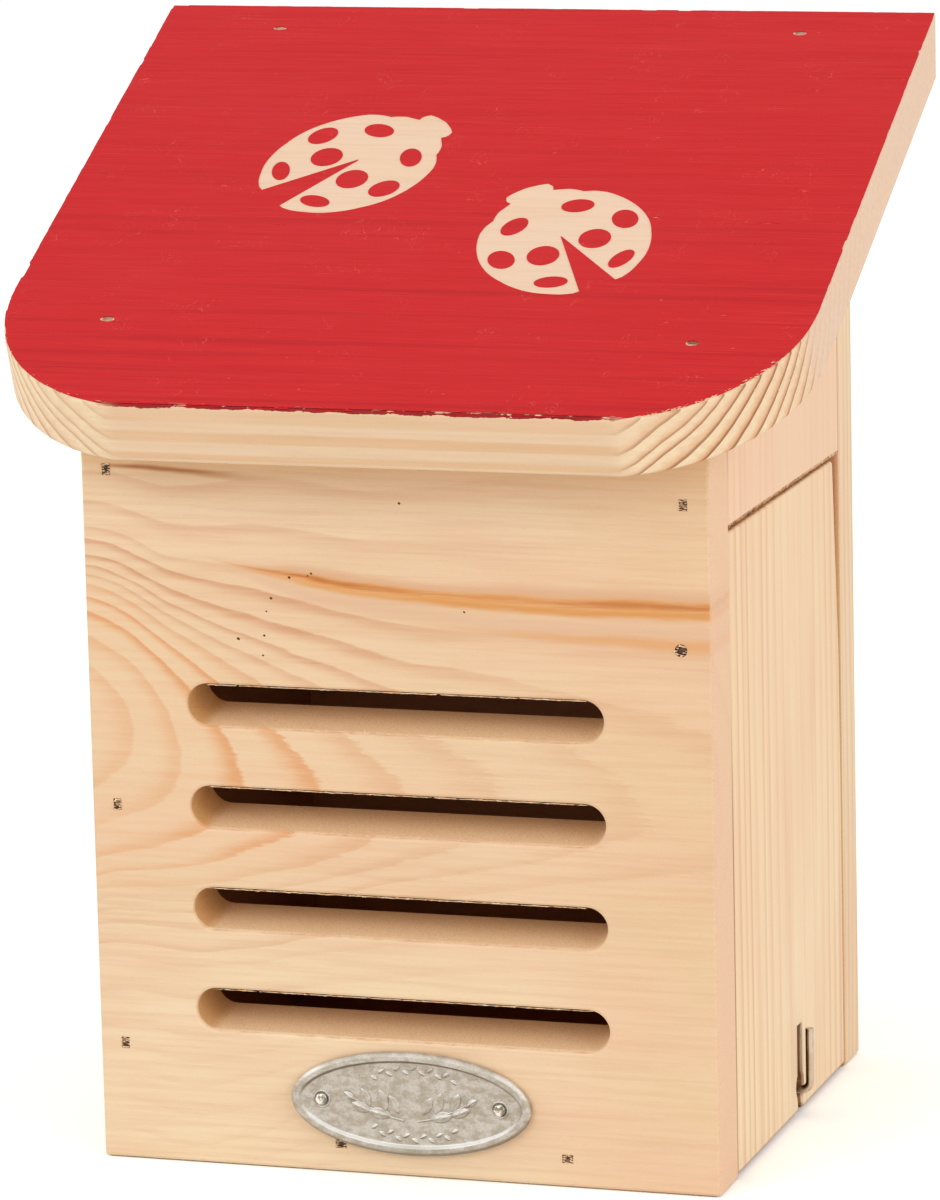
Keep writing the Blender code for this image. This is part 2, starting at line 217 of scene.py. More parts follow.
def put(tree, kind, values=None, **settings):
    """Add a node, with its values and the sockets that feed it."""
    node = tree.nodes.new("ShaderNode" + kind)
    for key, value in settings.items():
        setattr(node, key, value)
    for key, value in (values or {}).items():
        socket = node.inputs[key]
        if isinstance(value, bpy.types.NodeSocket):
            tree.links.new(value, socket)
        else:
            socket.default_value = value
    return node


def calc(tree, operation, *values, clamp=False):
    node = put(tree, "Math", dict(enumerate(values)), operation=operation, use_clamp=clamp)
    return node.outputs[0]


def mix(tree, share, first, second, blend="MIX"):
    values = {0: share, 6: first, 7: second}
    node = put(tree, "Mix", values, data_type="RGBA", blend_type=blend)
    return node.outputs[2]


def ramp(tree, value, low, high, to_low=0.0, to_high=1.0, smooth_ends=True):
    kind = "SMOOTHSTEP" if smooth_ends else "LINEAR"
    values = {"Value": value, "From Min": low, "From Max": high, "To Min": to_low, "To Max": to_high}
    return put(tree, "MapRange", values, interpolation_type=kind).outputs["Result"]


def noise(tree, place, scale, detail=2.0, roughness=0.5, distortion=0.0):
    values = {"Vector": place, "Scale": scale, "Detail": detail, "Roughness": roughness,
              "Distortion": distortion}
    return put(tree, "TexNoise", values).outputs["Fac"]


def mapped(tree, source, move=(0, 0, 0), turn=(0, 0, 0), size=(1, 1, 1)):
    values = {"Vector": source, "Location": move, "Rotation": turn, "Scale": size}
    return put(tree, "Mapping", values).outputs["Vector"]


def band(tree, value, middle, half):
    """1 on the middle value, falling smoothly to 0 this far to either side."""
    away = calc(tree, "ABSOLUTE", calc(tree, "SUBTRACT", value, middle))
    return ramp(tree, away, 0.0, half, 1.0, 0.0)


def curve(tree, value, points, low=0.0, high=1.0):
    """A smooth line through points; low and high are the least and greatest value that it gives."""
    first, last = points[0][0], points[-1][0]
    node = put(tree, "FloatCurve", {"Value": ramp(tree, value, first, last, smooth_ends=False)})
    line = node.mapping.curves[0]
    spots = [((at - first) / (last - first), (level - low) / (high - low)) for at, level in points]
    line.points[0].location = spots[0]
    line.points[1].location = spots[-1]
    for spot in spots[1:-1]:
        line.points.new(*spot)
    for point in line.points:
        point.handle_type = "AUTO_CLAMPED"
    node.mapping.update()
    return calc(tree, "MULTIPLY_ADD", node.outputs[0], high - low, low)


def new_group(name, inputs, outputs):
    group = bpy.data.node_groups.new(name, "ShaderNodeTree")
    for socket, kind in inputs:
        group.interface.new_socket(socket, in_out="INPUT", socket_type="NodeSocket" + kind)
    for socket, kind in outputs:
        group.interface.new_socket(socket, in_out="OUTPUT", socket_type="NodeSocket" + kind)
    return group, group.nodes.new("NodeGroupInput"), group.nodes.new("NodeGroupOutput")


def use_group(tree, group, values):
    node = put(tree, "Group", node_tree=group)
    for key, value in values.items():
        if isinstance(value, bpy.types.NodeSocket):
            tree.links.new(value, node.inputs[key])
        else:
            node.inputs[key].default_value = value
    return node


def new_material(name, colour, roughness, metallic=0.0, specular=0.5):
    material = bpy.data.materials.new(name)
    material.use_nodes = True
    tree = material.node_tree
    shader = tree.nodes["Principled BSDF"]
    shader.inputs["Base Color"].default_value = colour
    shader.inputs["Roughness"].default_value = roughness
    shader.inputs["Metallic"].default_value = metallic
    shader.inputs["Specular IOR Level"].default_value = specular
    return material, tree, shader


def feed_bump(tree, shader, height, distance, strength=1.0):
    bump = put(tree, "Bump", {"Height": height, "Distance": distance, "Strength": strength})
    tree.links.new(bump.outputs["Normal"], shader.inputs["Normal"])


# ---- pine

def make_pine_figure():
    """Planed pine: rings of pale early wood that darken into a late line, with fibres along the grain.

    Ring counts the years across the board. Grain is the place in millimetres with X along the fibres.
    Narrow is how late in the year the wood darkens, Fibres how much the long fibres show.
    """
    group, given, made = new_group(
        "pine figure",
        [("Ring", "Float"), ("Grain", "Vector"), ("Figure", "Float"), ("Narrow", "Float"),
         ("Fibres", "Float"), ("Early wood", "Color"), ("Late wood", "Color"), ("Flush", "Color")],
        [("Color", "Color"), ("Late", "Float"), ("Roughness", "Float"), ("Height", "Float")],
    )
    ring, grain = given.outputs["Ring"], given.outputs["Grain"]
    year = calc(group, "FLOOR", ring)
    season = calc(group, "FRACT", ring)
    luck = put(group, "TexWhiteNoise", {"W": year}, noise_dimensions="1D").outputs["Value"]
    autumn = ramp(group, season, 0.12, 0.90)
    late_start = calc(group, "MULTIPLY_ADD", luck, 0.8, 0.6)
    power = calc(group, "MULTIPLY", given.outputs["Narrow"], late_start)
    autumn = calc(group, "POWER", autumn, power)
    winter = ramp(group, season, 0.91, 1.0, 1.0, 0.0)
    late = calc(group, "MULTIPLY", autumn, winter)
    late = calc(group, "MULTIPLY", late, calc(group, "MULTIPLY_ADD", luck, 0.45, 0.55))

    long_fibre = mapped(group, grain, size=(0.035, 1.0, 1.0))
    coarse = noise(group, long_fibre, 0.9, 3.0, 0.6)
    short_fibre = mapped(group, grain, size=(0.11, 1.0, 1.0))
    fine = noise(group, short_fibre, 5.5, 2.0, 0.6)
    cloud = noise(group, mapped(group, grain, size=(0.35, 1.0, 1.0)), 0.055, 2.0, 0.5)

    strength = calc(group, "MULTIPLY", late, given.outputs["Figure"])
    strength = calc(group, "MULTIPLY", strength, ramp(group, coarse, 0.15, 0.7, 0.7, 1.1))
    wood = mix(group, ramp(group, cloud, 0.35, 0.75, 0.0, 0.55), given.outputs["Early wood"],
               given.outputs["Flush"])
    wood = mix(group, strength, wood, given.outputs["Late wood"])
    streak = calc(group, "MULTIPLY", ramp(group, coarse, 0.34, 0.76), given.outputs["Fibres"])
    wood = mix(group, streak, wood, given.outputs["Late wood"])
    pores = ramp(group, fine, 0.55, 0.80, 0.0, 0.18)
    wood = mix(group, pores, wood, shade(210, 166, 120))

    rough = calc(group, "MULTIPLY_ADD", fine, 0.16, 0.50)
    rough = calc(group, "MULTIPLY_ADD", late, -0.08, rough)
    height = calc(group, "MULTIPLY_ADD", late, 0.35, fine)
    group.links.new(wood, made.inputs["Color"])
    group.links.new(late, made.inputs["Late"])
    group.links.new(rough, made.inputs["Roughness"])
    group.links.new(height, made.inputs["Height"])
    return group


def make_sawn_end():
    """What a saw leaves: a browner, duller face with short tooth marks across it; given a shade tone, it lays
    painted shade instead.
    """
    group, given, made = new_group(
        "sawn face and shade",
        [("Color", "Color"), ("Height", "Float"), ("Place", "Vector"), ("Mask", "Float"), ("Tone", "Color")],
        [("Color", "Color"), ("Height", "Float")],
    )
    teeth = noise(group, mapped(group, given.outputs["Place"], size=(1.0, 0.3, 1.0)), 1.6, 3.0, 0.7)
    fuzz = noise(group, given.outputs["Place"], 4.0, 2.0, 0.7)
    tone = mix(group, ramp(group, fuzz, 0.42, 0.74, 0.0, 0.5), given.outputs["Tone"], shade(168, 118, 78))
    colour = mix(group, given.outputs["Mask"], given.outputs["Color"], tone)
    rough = calc(group, "ADD", teeth, fuzz)
    height = calc(group, "MULTIPLY_ADD", calc(group, "MULTIPLY", rough, given.outputs["Mask"]), 1.8,
                  given.outputs["Height"])
    group.links.new(colour, made.inputs["Color"])
    group.links.new(height, made.inputs["Height"])
    return group


pine_figure = make_pine_figure()
sawn_face_and_shade = make_sawn_end()

EARLY = shade(244, 216, 178)
LATE = shade(224, 168, 116)
FLUSH = shade(240, 202, 166)
# Painted shade: a dark brown laid on the faces inside the house for the shade within it
INSIDE_SHADE = shade(176, 108, 66)


def pine(name, early=EARLY):
    """A pine material's tree and shader, with its place in millimetres and that place split in three."""
    material, tree, shader = new_material(name, early, 0.55, specular=0.3)
    place = mapped(tree, put(tree, "TexCoord").outputs["Object"], size=(1000, 1000, 1000))
    parts = put(tree, "SeparateXYZ", {0: place})
    return material, tree, shader, place, parts.outputs[0], parts.outputs[1], parts.outputs[2]


def figure(tree, ring, grain, strength, narrow=2.2, early=EARLY, late=LATE, flush=FLUSH, fibres=0.24):
    return use_group(tree, pine_figure, {
        "Ring": ring, "Grain": grain, "Figure": strength, "Narrow": narrow, "Fibres": fibres,
        "Early wood": early, "Late wood": late, "Flush": flush,
    })


def saw(tree, wood, place, mask, tone):
    """Wood with a duller face in the given tone where the mask says so: sawn faces, and painted shade inside the
    house and in its gaps.
    """
    return use_group(tree, sawn_face_and_shade, {
        "Color": wood.outputs["Color"], "Height": wood.outputs["Height"], "Place": place,
        "Mask": mask, "Tone": tone,
    })


def finish_wood(tree, shader, wood, place):
    tree.links.new(wood.outputs["Color"], shader.inputs["Base Color"])
    rough = noise(tree, place, 1.1, 3.0, 0.6)
    tree.links.new(calc(tree, "MULTIPLY_ADD", rough, 0.15, 0.5), shader.inputs["Roughness"])
    feed_bump(tree, shader, wood.outputs["Height"], 0.05 * MM, 0.55)


def inside_house(tree, x, y):
    """1 on faces that look into the house, 0 outside."""
    across = ramp(tree, calc(tree, "ABSOLUTE", x), 54.6, 54.4)
    along = calc(tree, "ABSOLUTE", calc(tree, "SUBTRACT", y, INSIDE_MIDDLE))
    return calc(tree, "MULTIPLY", across, ramp(tree, along, INSIDE_HALF + 0.2, INSIDE_HALF))


# The front panel's rings, in millimetres from its left edge: how far each place across it lies from the
# heart, squared, and how much the rings are pressed together over and under the heart
FRONT_REACH = ((0, 0), (10.4, 156), (20.8, 353), (34.5, 566), (52, 729), (70, 882), (93, 1011), (120, 1142),
               (135, 1200))
FRONT_OVER = ((0, 1.0), (15, 0.93), (23, 0.85), (30, 0.78), (40, 0.71), (64, 0.67), (80, 0.64), (135, 0.52))
FRONT_UNDER = ((0, 0.82), (15, 0.82), (33, 0.90), (49, 1.0), (63, 1.02), (135, 1.12))

# Its years by their distance from the heart, how dark each year's line is, and how thin
FRONT_YEARS = ((0, 0), (12.5, 1), (18.8, 2), (23.8, 3), (27, 4), (29.7, 5), (31.8, 6), (33.8, 7), (36.2, 8),
               (39.4, 9), (42, 10), (47.5, 11), (53.7, 12), (57.6, 13), (64, 14.4), (72, 16), (110, 23))
FRONT_DARKNESS = ((0, 0.2), (12.5, 0.5), (18.8, 0.75), (23.8, 1.0), (27, 1.0), (29.7, 0.9), (31.8, 0.6),
                  (33.8, 0.75), (36.2, 1.0), (39.4, 0.85), (42, 0.4), (47.5, 0.4), (53.7, 0.4), (57.6, 0.3),
                  (110, 0.2))
FRONT_THINNESS = ((0, 3), (12.5, 3), (22, 2.8), (29, 2.8), (32, 2.4), (39, 2.8), (48, 5), (110, 6))

# The resin streak's lower and upper edges and its dark core's strength, from the panel's left edge
STREAK_LOW = ((20, 129.8), (35, 127.5), (50, 124.2), (65, 122.2), (80, 121.1), (95, 120.5), (110, 120.2),
              (135, 120.2))
STREAK_HIGH = ((20, 131.2), (35, 129.0), (50, 127.6), (65, 125.9), (80, 125.2), (95, 125.2), (110, 125.2),
               (135, 125.2))
STREAK_CORE = ((20, 0.5), (35, 0.8), (50, 1.0), (65, 0.8), (80, 0.35), (95, 0.35), (110, 0.85), (135, 0.9))
SECOND_STREAK = ((60, 118.2), (80, 116.9), (95, 116.2), (110, 115.8), (125, 115.3), (135, 115.0))
CORNER_STREAK = ((4, 0.0), (8, 0.8), (14, 1.0), (22, 1.0), (30, 0.6), (37, 0.15), (44, 0.0))


def front_rings(tree, from_left, depth, place, z):
    """How far a place on the front panel lies from the heart, in rings that bulge to the right."""
    reach = calc(tree, "POWER", calc(tree, "DIVIDE", from_left, 28.0), 2.0)
    bulge = calc(tree, "POWER", math.e, calc(tree, "MULTIPLY", reach, -1.0))
    heart = calc(tree, "MULTIPLY_ADD", bulge, 15.0, 78.5)
    drift = noise(tree, mapped(tree, place, size=(0.35, 0.6, 1.0)), 0.07, 2.0, 0.5)
    rise = calc(tree, "SUBTRACT", z, calc(tree, "MULTIPLY_ADD", drift, 3.0, calc(tree, "SUBTRACT", heart, 1.5)))
    over = curve(tree, from_left, FRONT_OVER, 0.4, 1.2)
    under = curve(tree, from_left, FRONT_UNDER, 0.4, 1.2)
    rise = calc(tree, "MULTIPLY", rise, ramp(tree, rise, -6.0, 6.0, under, over))
    squares = calc(tree, "MULTIPLY_ADD", rise, rise, curve(tree, from_left, FRONT_REACH, 0.0, 1200.0))
    wander = noise(tree, mapped(tree, place, size=(0.10, 1.0, 1.0)), 0.30, 1.0, 0.5)
    teeth = noise(tree, mapped(tree, place, size=(0.12, 1.0, 1.0)), 1.6, 2.0, 0.6)
    teeth = calc(tree, "MULTIPLY", calc(tree, "SUBTRACT", teeth, 0.5),
                 ramp(tree, calc(tree, "ABSOLUTE", rise), 9.0, 18.0, 0.9, 0.3))
    wander = calc(tree, "ADD", calc(tree, "MULTIPLY_ADD", wander, 0.8, -0.4), teeth)
    wander = calc(tree, "MULTIPLY_ADD", depth, 0.25, wander)
    return calc(tree, "ADD", calc(tree, "SQRT", squares), wander), rise


def front_streaks(tree, colour, from_left, place, z):
    """The resin streaks over the slots and the dark one in the upper left corner."""
    sway = noise(tree, mapped(tree, place, size=(0.06, 0.3, 0.3)), 1.1, 3.0, 0.55)
    waved = calc(tree, "MULTIPLY_ADD", sway, 1.5, calc(tree, "SUBTRACT", z, 0.75))
    low = curve(tree, from_left, STREAK_LOW, 118.0, 132.0)
    high = curve(tree, from_left, STREAK_HIGH, 118.0, 132.0)
    share = calc(tree, "DIVIDE", calc(tree, "SUBTRACT", waved, low), calc(tree, "SUBTRACT", high, low))
    shown = ramp(tree, from_left, 24.0, 50.0)
    fibres = noise(tree, mapped(tree, place, size=(0.04, 1.0, 1.0)), 2.2, 2.0, 0.6)
    body = calc(tree, "MULTIPLY", ramp(tree, share, -0.12, 0.22), ramp(tree, share, 0.98, 0.68))
    body = calc(tree, "MULTIPLY", calc(tree, "MULTIPLY", body, shown), ramp(tree, fibres, 0.25, 0.6, 0.7, 1.0))
    halo = calc(tree, "MULTIPLY", band(tree, share, 0.95, 0.6), shown)
    colour = mix(tree, calc(tree, "MULTIPLY", halo, 0.9), colour, shade(226, 178, 138))
    colour = mix(tree, calc(tree, "MULTIPLY", body, 0.95), colour, shade(230, 162, 92))
    below = calc(tree, "MULTIPLY", band(tree, share, -0.55, 0.95), shown)
    colour = mix(tree, calc(tree, "MULTIPLY", below, 0.6), colour, shade(226, 182, 146))
    core = calc(tree, "MULTIPLY", band(tree, share, 0.60, 0.26), calc(tree, "MULTIPLY", shown, 0.9))
    core = calc(tree, "MULTIPLY", core, curve(tree, from_left, STREAK_CORE))
    core = calc(tree, "MULTIPLY", core, ramp(tree, fibres, 0.3, 0.6, 0.55, 1.0))
    colour = mix(tree, core, colour, shade(196, 116, 58))
    root = calc(tree, "MULTIPLY", band(tree, share, 0.22, 0.24), ramp(tree, from_left, 62.0, 82.0, 0.0, 0.5))
    colour = mix(tree, root, colour, shade(216, 146, 72))

    second = calc(tree, "SUBTRACT", waved, curve(tree, from_left, SECOND_STREAK, 110.0, 120.0))
    wide = ramp(tree, from_left, 80.0, 134.0, 1.0, 2.2)
    second = ramp(tree, calc(tree, "DIVIDE", calc(tree, "ABSOLUTE", second), wide), 0.15, 1.0, 1.0, 0.0)
    second = calc(tree, "MULTIPLY", second, ramp(tree, from_left, 62.0, 118.0, 0.0, 0.9))
    colour = mix(tree, second, colour, shade(230, 170, 116))

    corner = calc(tree, "SUBTRACT", z, calc(tree, "MULTIPLY_ADD", from_left, -0.034, 148.6))
    corner = calc(tree, "MULTIPLY_ADD", sway, 1.0, calc(tree, "SUBTRACT", corner, 0.5))
    corner = calc(tree, "MULTIPLY", band(tree, corner, 0.0, 0.85), curve(tree, from_left, CORNER_STREAK))
    colour = mix(tree, calc(tree, "MULTIPLY", corner, 0.9), colour, shade(180, 104, 52))
    trail = calc(tree, "SUBTRACT", waved, calc(tree, "MULTIPLY_ADD", from_left, -0.052, 148.6))
    trail = calc(tree, "MULTIPLY", band(tree, trail, 0.0, 0.8), band(tree, from_left, 27.0, 17.0))
    return mix(tree, calc(tree, "MULTIPLY", trail, 0.5), colour, shade(188, 140, 74))


def make_front_pine():
    """The front panel: rings nest into arches that point to the right, with two resin streaks above them."""
    material, tree, shader, place, x, y, z = pine("front pine")
    from_left = calc(tree, "ADD", x, HALF_WIDTH / MM)
    depth = calc(tree, "SUBTRACT", y, FRONT_FACE / MM)
    from_heart, rise = front_rings(tree, from_left, depth, place, z)
    ring = curve(tree, from_heart, FRONT_YEARS, 0.0, 23.0)
    strength = curve(tree, from_heart, FRONT_DARKNESS)
    strength = calc(tree, "MULTIPLY", strength, ramp(tree, from_left, 42.0, 105.0, 1.0, 0.3))
    strength = calc(tree, "MULTIPLY", strength, ramp(tree, rise, -8.0, -20.0, 1.0, 0.45))
    thin = curve(tree, from_heart, FRONT_THINNESS, 0.0, 16.0)
    low = ramp(tree, z, 66.0, 28.0)
    early = mix(tree, low, shade(240, 208, 168), shade(248, 221, 182))
    early = mix(tree, band(tree, z, 138.0, 12.0), early, shade(246, 218, 180))
    # Painted shade: a warm yellow-brown over the top of the panel, under the roof's overhang
    early = mix(tree, ramp(tree, z, 146.0, 154.0), early, shade(242, 203, 140))
    early = mix(tree, ramp(tree, from_left, 90.0, 125.0, 0.0, 0.6), early, shade(238, 200, 156))
    late = mix(tree, ramp(tree, from_heart, 27.0, 32.0), shade(230, 166, 114), shade(214, 156, 114))
    wood = figure(tree, ring, place, strength, thin, early, late, shade(243, 202, 166))
    colour = front_streaks(tree, wood.outputs["Color"], from_left, place, z)

    wood = use_group(tree, sawn_face_and_shade, {
        "Color": colour, "Height": wood.outputs["Height"], "Place": place,
        "Mask": calc(tree, "MULTIPLY", ramp(tree, x, 66.9, 67.4), 0.7), "Tone": shade(250, 206, 170),
    })
    in_slots = calc(tree, "MULTIPLY", ramp(tree, depth, 0.35, 1.1),
                    ramp(tree, calc(tree, "ABSOLUTE", x), 47.5, 46.5))
    slot_end = ramp(tree, calc(tree, "MULTIPLY", x, -1.0), 40.5, 43.5)
    slot_tone = mix(tree, slot_end, shade(255, 218, 172), shade(226, 174, 112))
    wood = saw(tree, wood, place, calc(tree, "MULTIPLY", in_slots, 0.9), slot_tone)
    # Painted shade on the panel's inner face, lighter on the strip behind the door that shows in its gap
    inner = ramp(tree, depth, 13.4, 13.6)
    wood = saw(tree, wood, place, inner, INSIDE_SHADE)
    gap = calc(tree, "MULTIPLY", inner, ramp(tree, x, 54.0, 54.6))
    wood = saw(tree, wood, place, gap, shade(206, 150, 104))
    finish_wood(tree, shader, wood, place)
    return material


# The side boards' late lines, in millimetres behind the front panel, and how dark each is
SIDE_YEARS = ((-6, 0), (0, 1), (5.6, 2), (9.4, 3), (13.6, 4), (19.0, 5), (25.5, 6), (30.0, 7), (36, 8),
              (41.5, 9), (47, 10), (52, 11), (57, 12), (62, 13), (67, 14), (72, 15), (77, 16), (81.6, 17),
              (86, 18), (100, 22))
SIDE_DARKNESS = ((-6, 0.2), (1.5, 0.4), (5.6, 0.75), (9.4, 0.4), (13.6, 0.65), (19, 0.3), (25.5, 0.5),
                 (30, 0.2), (36, 0.3), (41.5, 0.08), (57, 0.08), (67, 0.10), (81.6, 0.4), (100, 0.3))


def make_side_pine():
    """The side boards, quarter sawn: a few upright brown lines near the front, hardly any at the back."""
    material, tree, shader, place, x, y, z = pine("side pine")
    drift = noise(tree, mapped(tree, place, size=(1.0, 1.0, 0.10)), 0.05, 1.0, 0.5)
    from_front = calc(tree, "SUBTRACT", y, upper_low.y / MM)
    across = calc(tree, "MULTIPLY_ADD", drift, 3.0, calc(tree, "SUBTRACT", from_front, 1.5))
    across = calc(tree, "MULTIPLY_ADD", calc(tree, "SUBTRACT", x, HALF_WIDTH / MM), 0.55, across)
    ring = curve(tree, across, SIDE_YEARS, 0.0, 22.0)
    strong = curve(tree, across, SIDE_DARKNESS)
    upright = mapped(tree, place, turn=(0, math.pi / 2, 0))
    patch = noise(tree, mapped(tree, place, size=(0.8, 0.8, 0.25)), 0.05, 2.0, 0.5)
    early = mix(tree, ramp(tree, patch, 0.35, 0.7), shade(250, 219, 178), shade(246, 208, 168))
    # Painted light: paler towards the foot, for the light thrown up from the floor
    early = mix(tree, ramp(tree, z, 85.0, 15.0, 0.0, 0.8), early, shade(255, 232, 192))
    wash = noise(tree, mapped(tree, place, size=(1.0, 1.0, 0.03)), 0.16, 2.0, 0.6)
    early = mix(tree, ramp(tree, wash, 0.50, 0.66, 0.0, 0.5), early, shade(238, 190, 156))
    on_right = ramp(tree, x, -1.0, 1.0)
    upper = calc(tree, "MULTIPLY", ramp(tree, z, door_high.z / MM, upper_low.z / MM), on_right)
    early = mix(tree, calc(tree, "MULTIPLY", upper, 0.6), early, shade(248, 204, 172))
    strong = calc(tree, "MULTIPLY", strong, ramp(tree, upper, 0.0, 1.0, 1.0, 0.35))
    wood = figure(tree, ring, upright, strong, 2.6, early=early, late=shade(220, 158, 108),
                  flush=shade(247, 206, 170), fibres=0.10)

    kerf_low, kerf_high = door_high.z / MM, upper_low.z / MM
    kerf = band(tree, z, (kerf_low + kerf_high) / 2, (kerf_high - kerf_low) / 2 + 0.35)
    ragged = noise(tree, mapped(tree, place, size=(1.0, 1.0, 0.2)), 1.1, 2.0, 0.8)
    kerf = calc(tree, "MULTIPLY", ramp(tree, kerf, 0.0, 0.25), ramp(tree, ragged, 0.25, 0.6, 0.6, 1.0))
    kerf = calc(tree, "MULTIPLY", kerf, on_right)
    tooth = noise(tree, mapped(tree, place, size=(0.6, 1.0, 0.3)), 1.3, 1.0, 0.5)
    kerf_tone = mix(tree, ramp(tree, tooth, 0.48, 0.60), shade(240, 186, 132), shade(146, 96, 56))
    wood = saw(tree, wood, place, kerf, kerf_tone)
    # Painted shade: a brown line down the door's back edge for the gap by the back panel, darkest at the top and
    # fading out low down
    back_gap_shade = ramp(tree, y, door_high.y / MM - 1.0, door_high.y / MM - 0.5, 0.0, 0.85)
    back_gap_shade = calc(tree, "MULTIPLY", back_gap_shade, ramp(tree, z, kerf_high, kerf_low))
    back_gap_shade = calc(tree, "MULTIPLY", back_gap_shade, calc(tree, "MULTIPLY", on_right, ramp(tree, z, 62.0, 92.0)))
    back_gap_shade_tone = mix(tree, ramp(tree, z, 70.0, 150.0), shade(172, 118, 62), shade(108, 66, 34))
    wood = saw(tree, wood, place, back_gap_shade, back_gap_shade_tone)
    # Painted shade: the door's front end darkens towards its foot for the gap by the front panel; the foot and the
    # keyway take the same tone as sawn faces
    front_gap_shade = ramp(tree, y, door_low.y / MM + 0.30, door_low.y / MM + 0.10)
    front_gap_shade = calc(tree, "MULTIPLY", front_gap_shade, ramp(tree, z, 105.0, 70.0, 0.0, on_right))
    foot = ramp(tree, z, 1.9, 1.0)
    beside_hook = calc(tree, "ABSOLUTE", calc(tree, "SUBTRACT", y, HOOK_Y))
    keyway = calc(tree, "MULTIPLY", ramp(tree, beside_hook, 3.5, 3.2), ramp(tree, z, 20.2, 20.0))
    keyway = calc(tree, "MULTIPLY", keyway, ramp(tree, calc(tree, "ABSOLUTE", x), 67.2, 66.8))
    sawn_face_and_gap_shade = calc(tree, "MAXIMUM", calc(tree, "MULTIPLY", front_gap_shade, 0.7), calc(tree, "MULTIPLY", foot, 0.5))
    wood = saw(tree, wood, place, calc(tree, "MAXIMUM", sawn_face_and_gap_shade, keyway), shade(168, 112, 68))
    # Painted shade on the faces inside the house, lighter on the door's inner face
    inner = ramp(tree, calc(tree, "ABSOLUTE", x), 55.4, 55.1)
    wood = saw(tree, wood, place, inner, mix(tree, on_right, INSIDE_SHADE, shade(226, 176, 126)))
    finish_wood(tree, shader, wood, place)
    return material


def make_back_pine():
    """The back panel and its upright grain."""
    material, tree, shader, place, x, y, z = pine("back pine")
    drift = noise(tree, mapped(tree, place, size=(1.0, 1.0, 0.15)), 0.04, 1.0, 0.5)
    across = calc(tree, "MULTIPLY_ADD", drift, 14.0, calc(tree, "MULTIPLY", x, 0.20))
    across = calc(tree, "MULTIPLY_ADD", y, 0.9, across)
    ring = calc(tree, "MULTIPLY", across, 0.30)
    upright = mapped(tree, place, turn=(0, math.pi / 2, 0))
    wood = figure(tree, ring, upright, 0.60, 3.0)
    # Painted shade on the back panel's inner face
    inner = calc(tree, "MULTIPLY", ramp(tree, y, 55.6, 55.4), ramp(tree, calc(tree, "ABSOLUTE", x), 56.0, 55.6))
    wood = saw(tree, wood, place, inner, INSIDE_SHADE)
    # Painted shade on the strip of the back panel's front face that shows in the gap behind the door
    strip = calc(tree, "MULTIPLY", ramp(tree, y, 55.7, 55.3), ramp(tree, x, 56.0, 57.0))
    wedge_shade_tone = mix(tree, ramp(tree, z, 100.0, 140.0), shade(218, 172, 112), shade(224, 164, 122))
    wood = saw(tree, wood, place, strip, wedge_shade_tone)
    finish_wood(tree, shader, wood, place)
    return material


def make_floor_pine():
    material, tree, shader, place, x, y, z = pine("floor pine")
    ring = calc(tree, "MULTIPLY", calc(tree, "MULTIPLY_ADD", z, 0.6, y), 0.22)
    wood = figure(tree, ring, place, 0.6)
    # Painted shade on the floor board's upper face inside the house
    wood = saw(tree, wood, place, ramp(tree, z, 11.7, 11.9), INSIDE_SHADE)
    finish_wood(tree, shader, wood, place)
    return material


# The roof board's late lines by their height across the tilted rings, counted down, and how dark each is
ROOF_YEARS = ((-44, 20), (-12.8, 11), (-9.6, 10), (-6.6, 9), (-3.9, 8), (-0.7, 7), (2.3, 6), (4.9, 5),
              (7.6, 4), (9.5, 3), (11.9, 2), (14.9, 1), (18, 0))
ROOF_DARKNESS = ((-44, 0.4), (-9.6, 0.7), (-3.9, 0.9), (-0.7, 1.0), (2.3, 1.0), (4.9, 0.9), (7.6, 0.8),
                 (9.5, 0.6), (11.9, 0.6), (14.9, 0.4), (18, 0.3))

# The straight front's broad bands by their height over the board's lower face
ROOF_BANDS = ((0, 0.0), (0.7, 0.0), (1.2, 0.8), (2.1, 0.7), (2.7, 0.0), (4.5, 0.0), (5.1, 0.75),
              (6.8, 0.85), (7.4, 0.1), (9.1, 0.0), (9.8, 0.55), (13, 0.45))


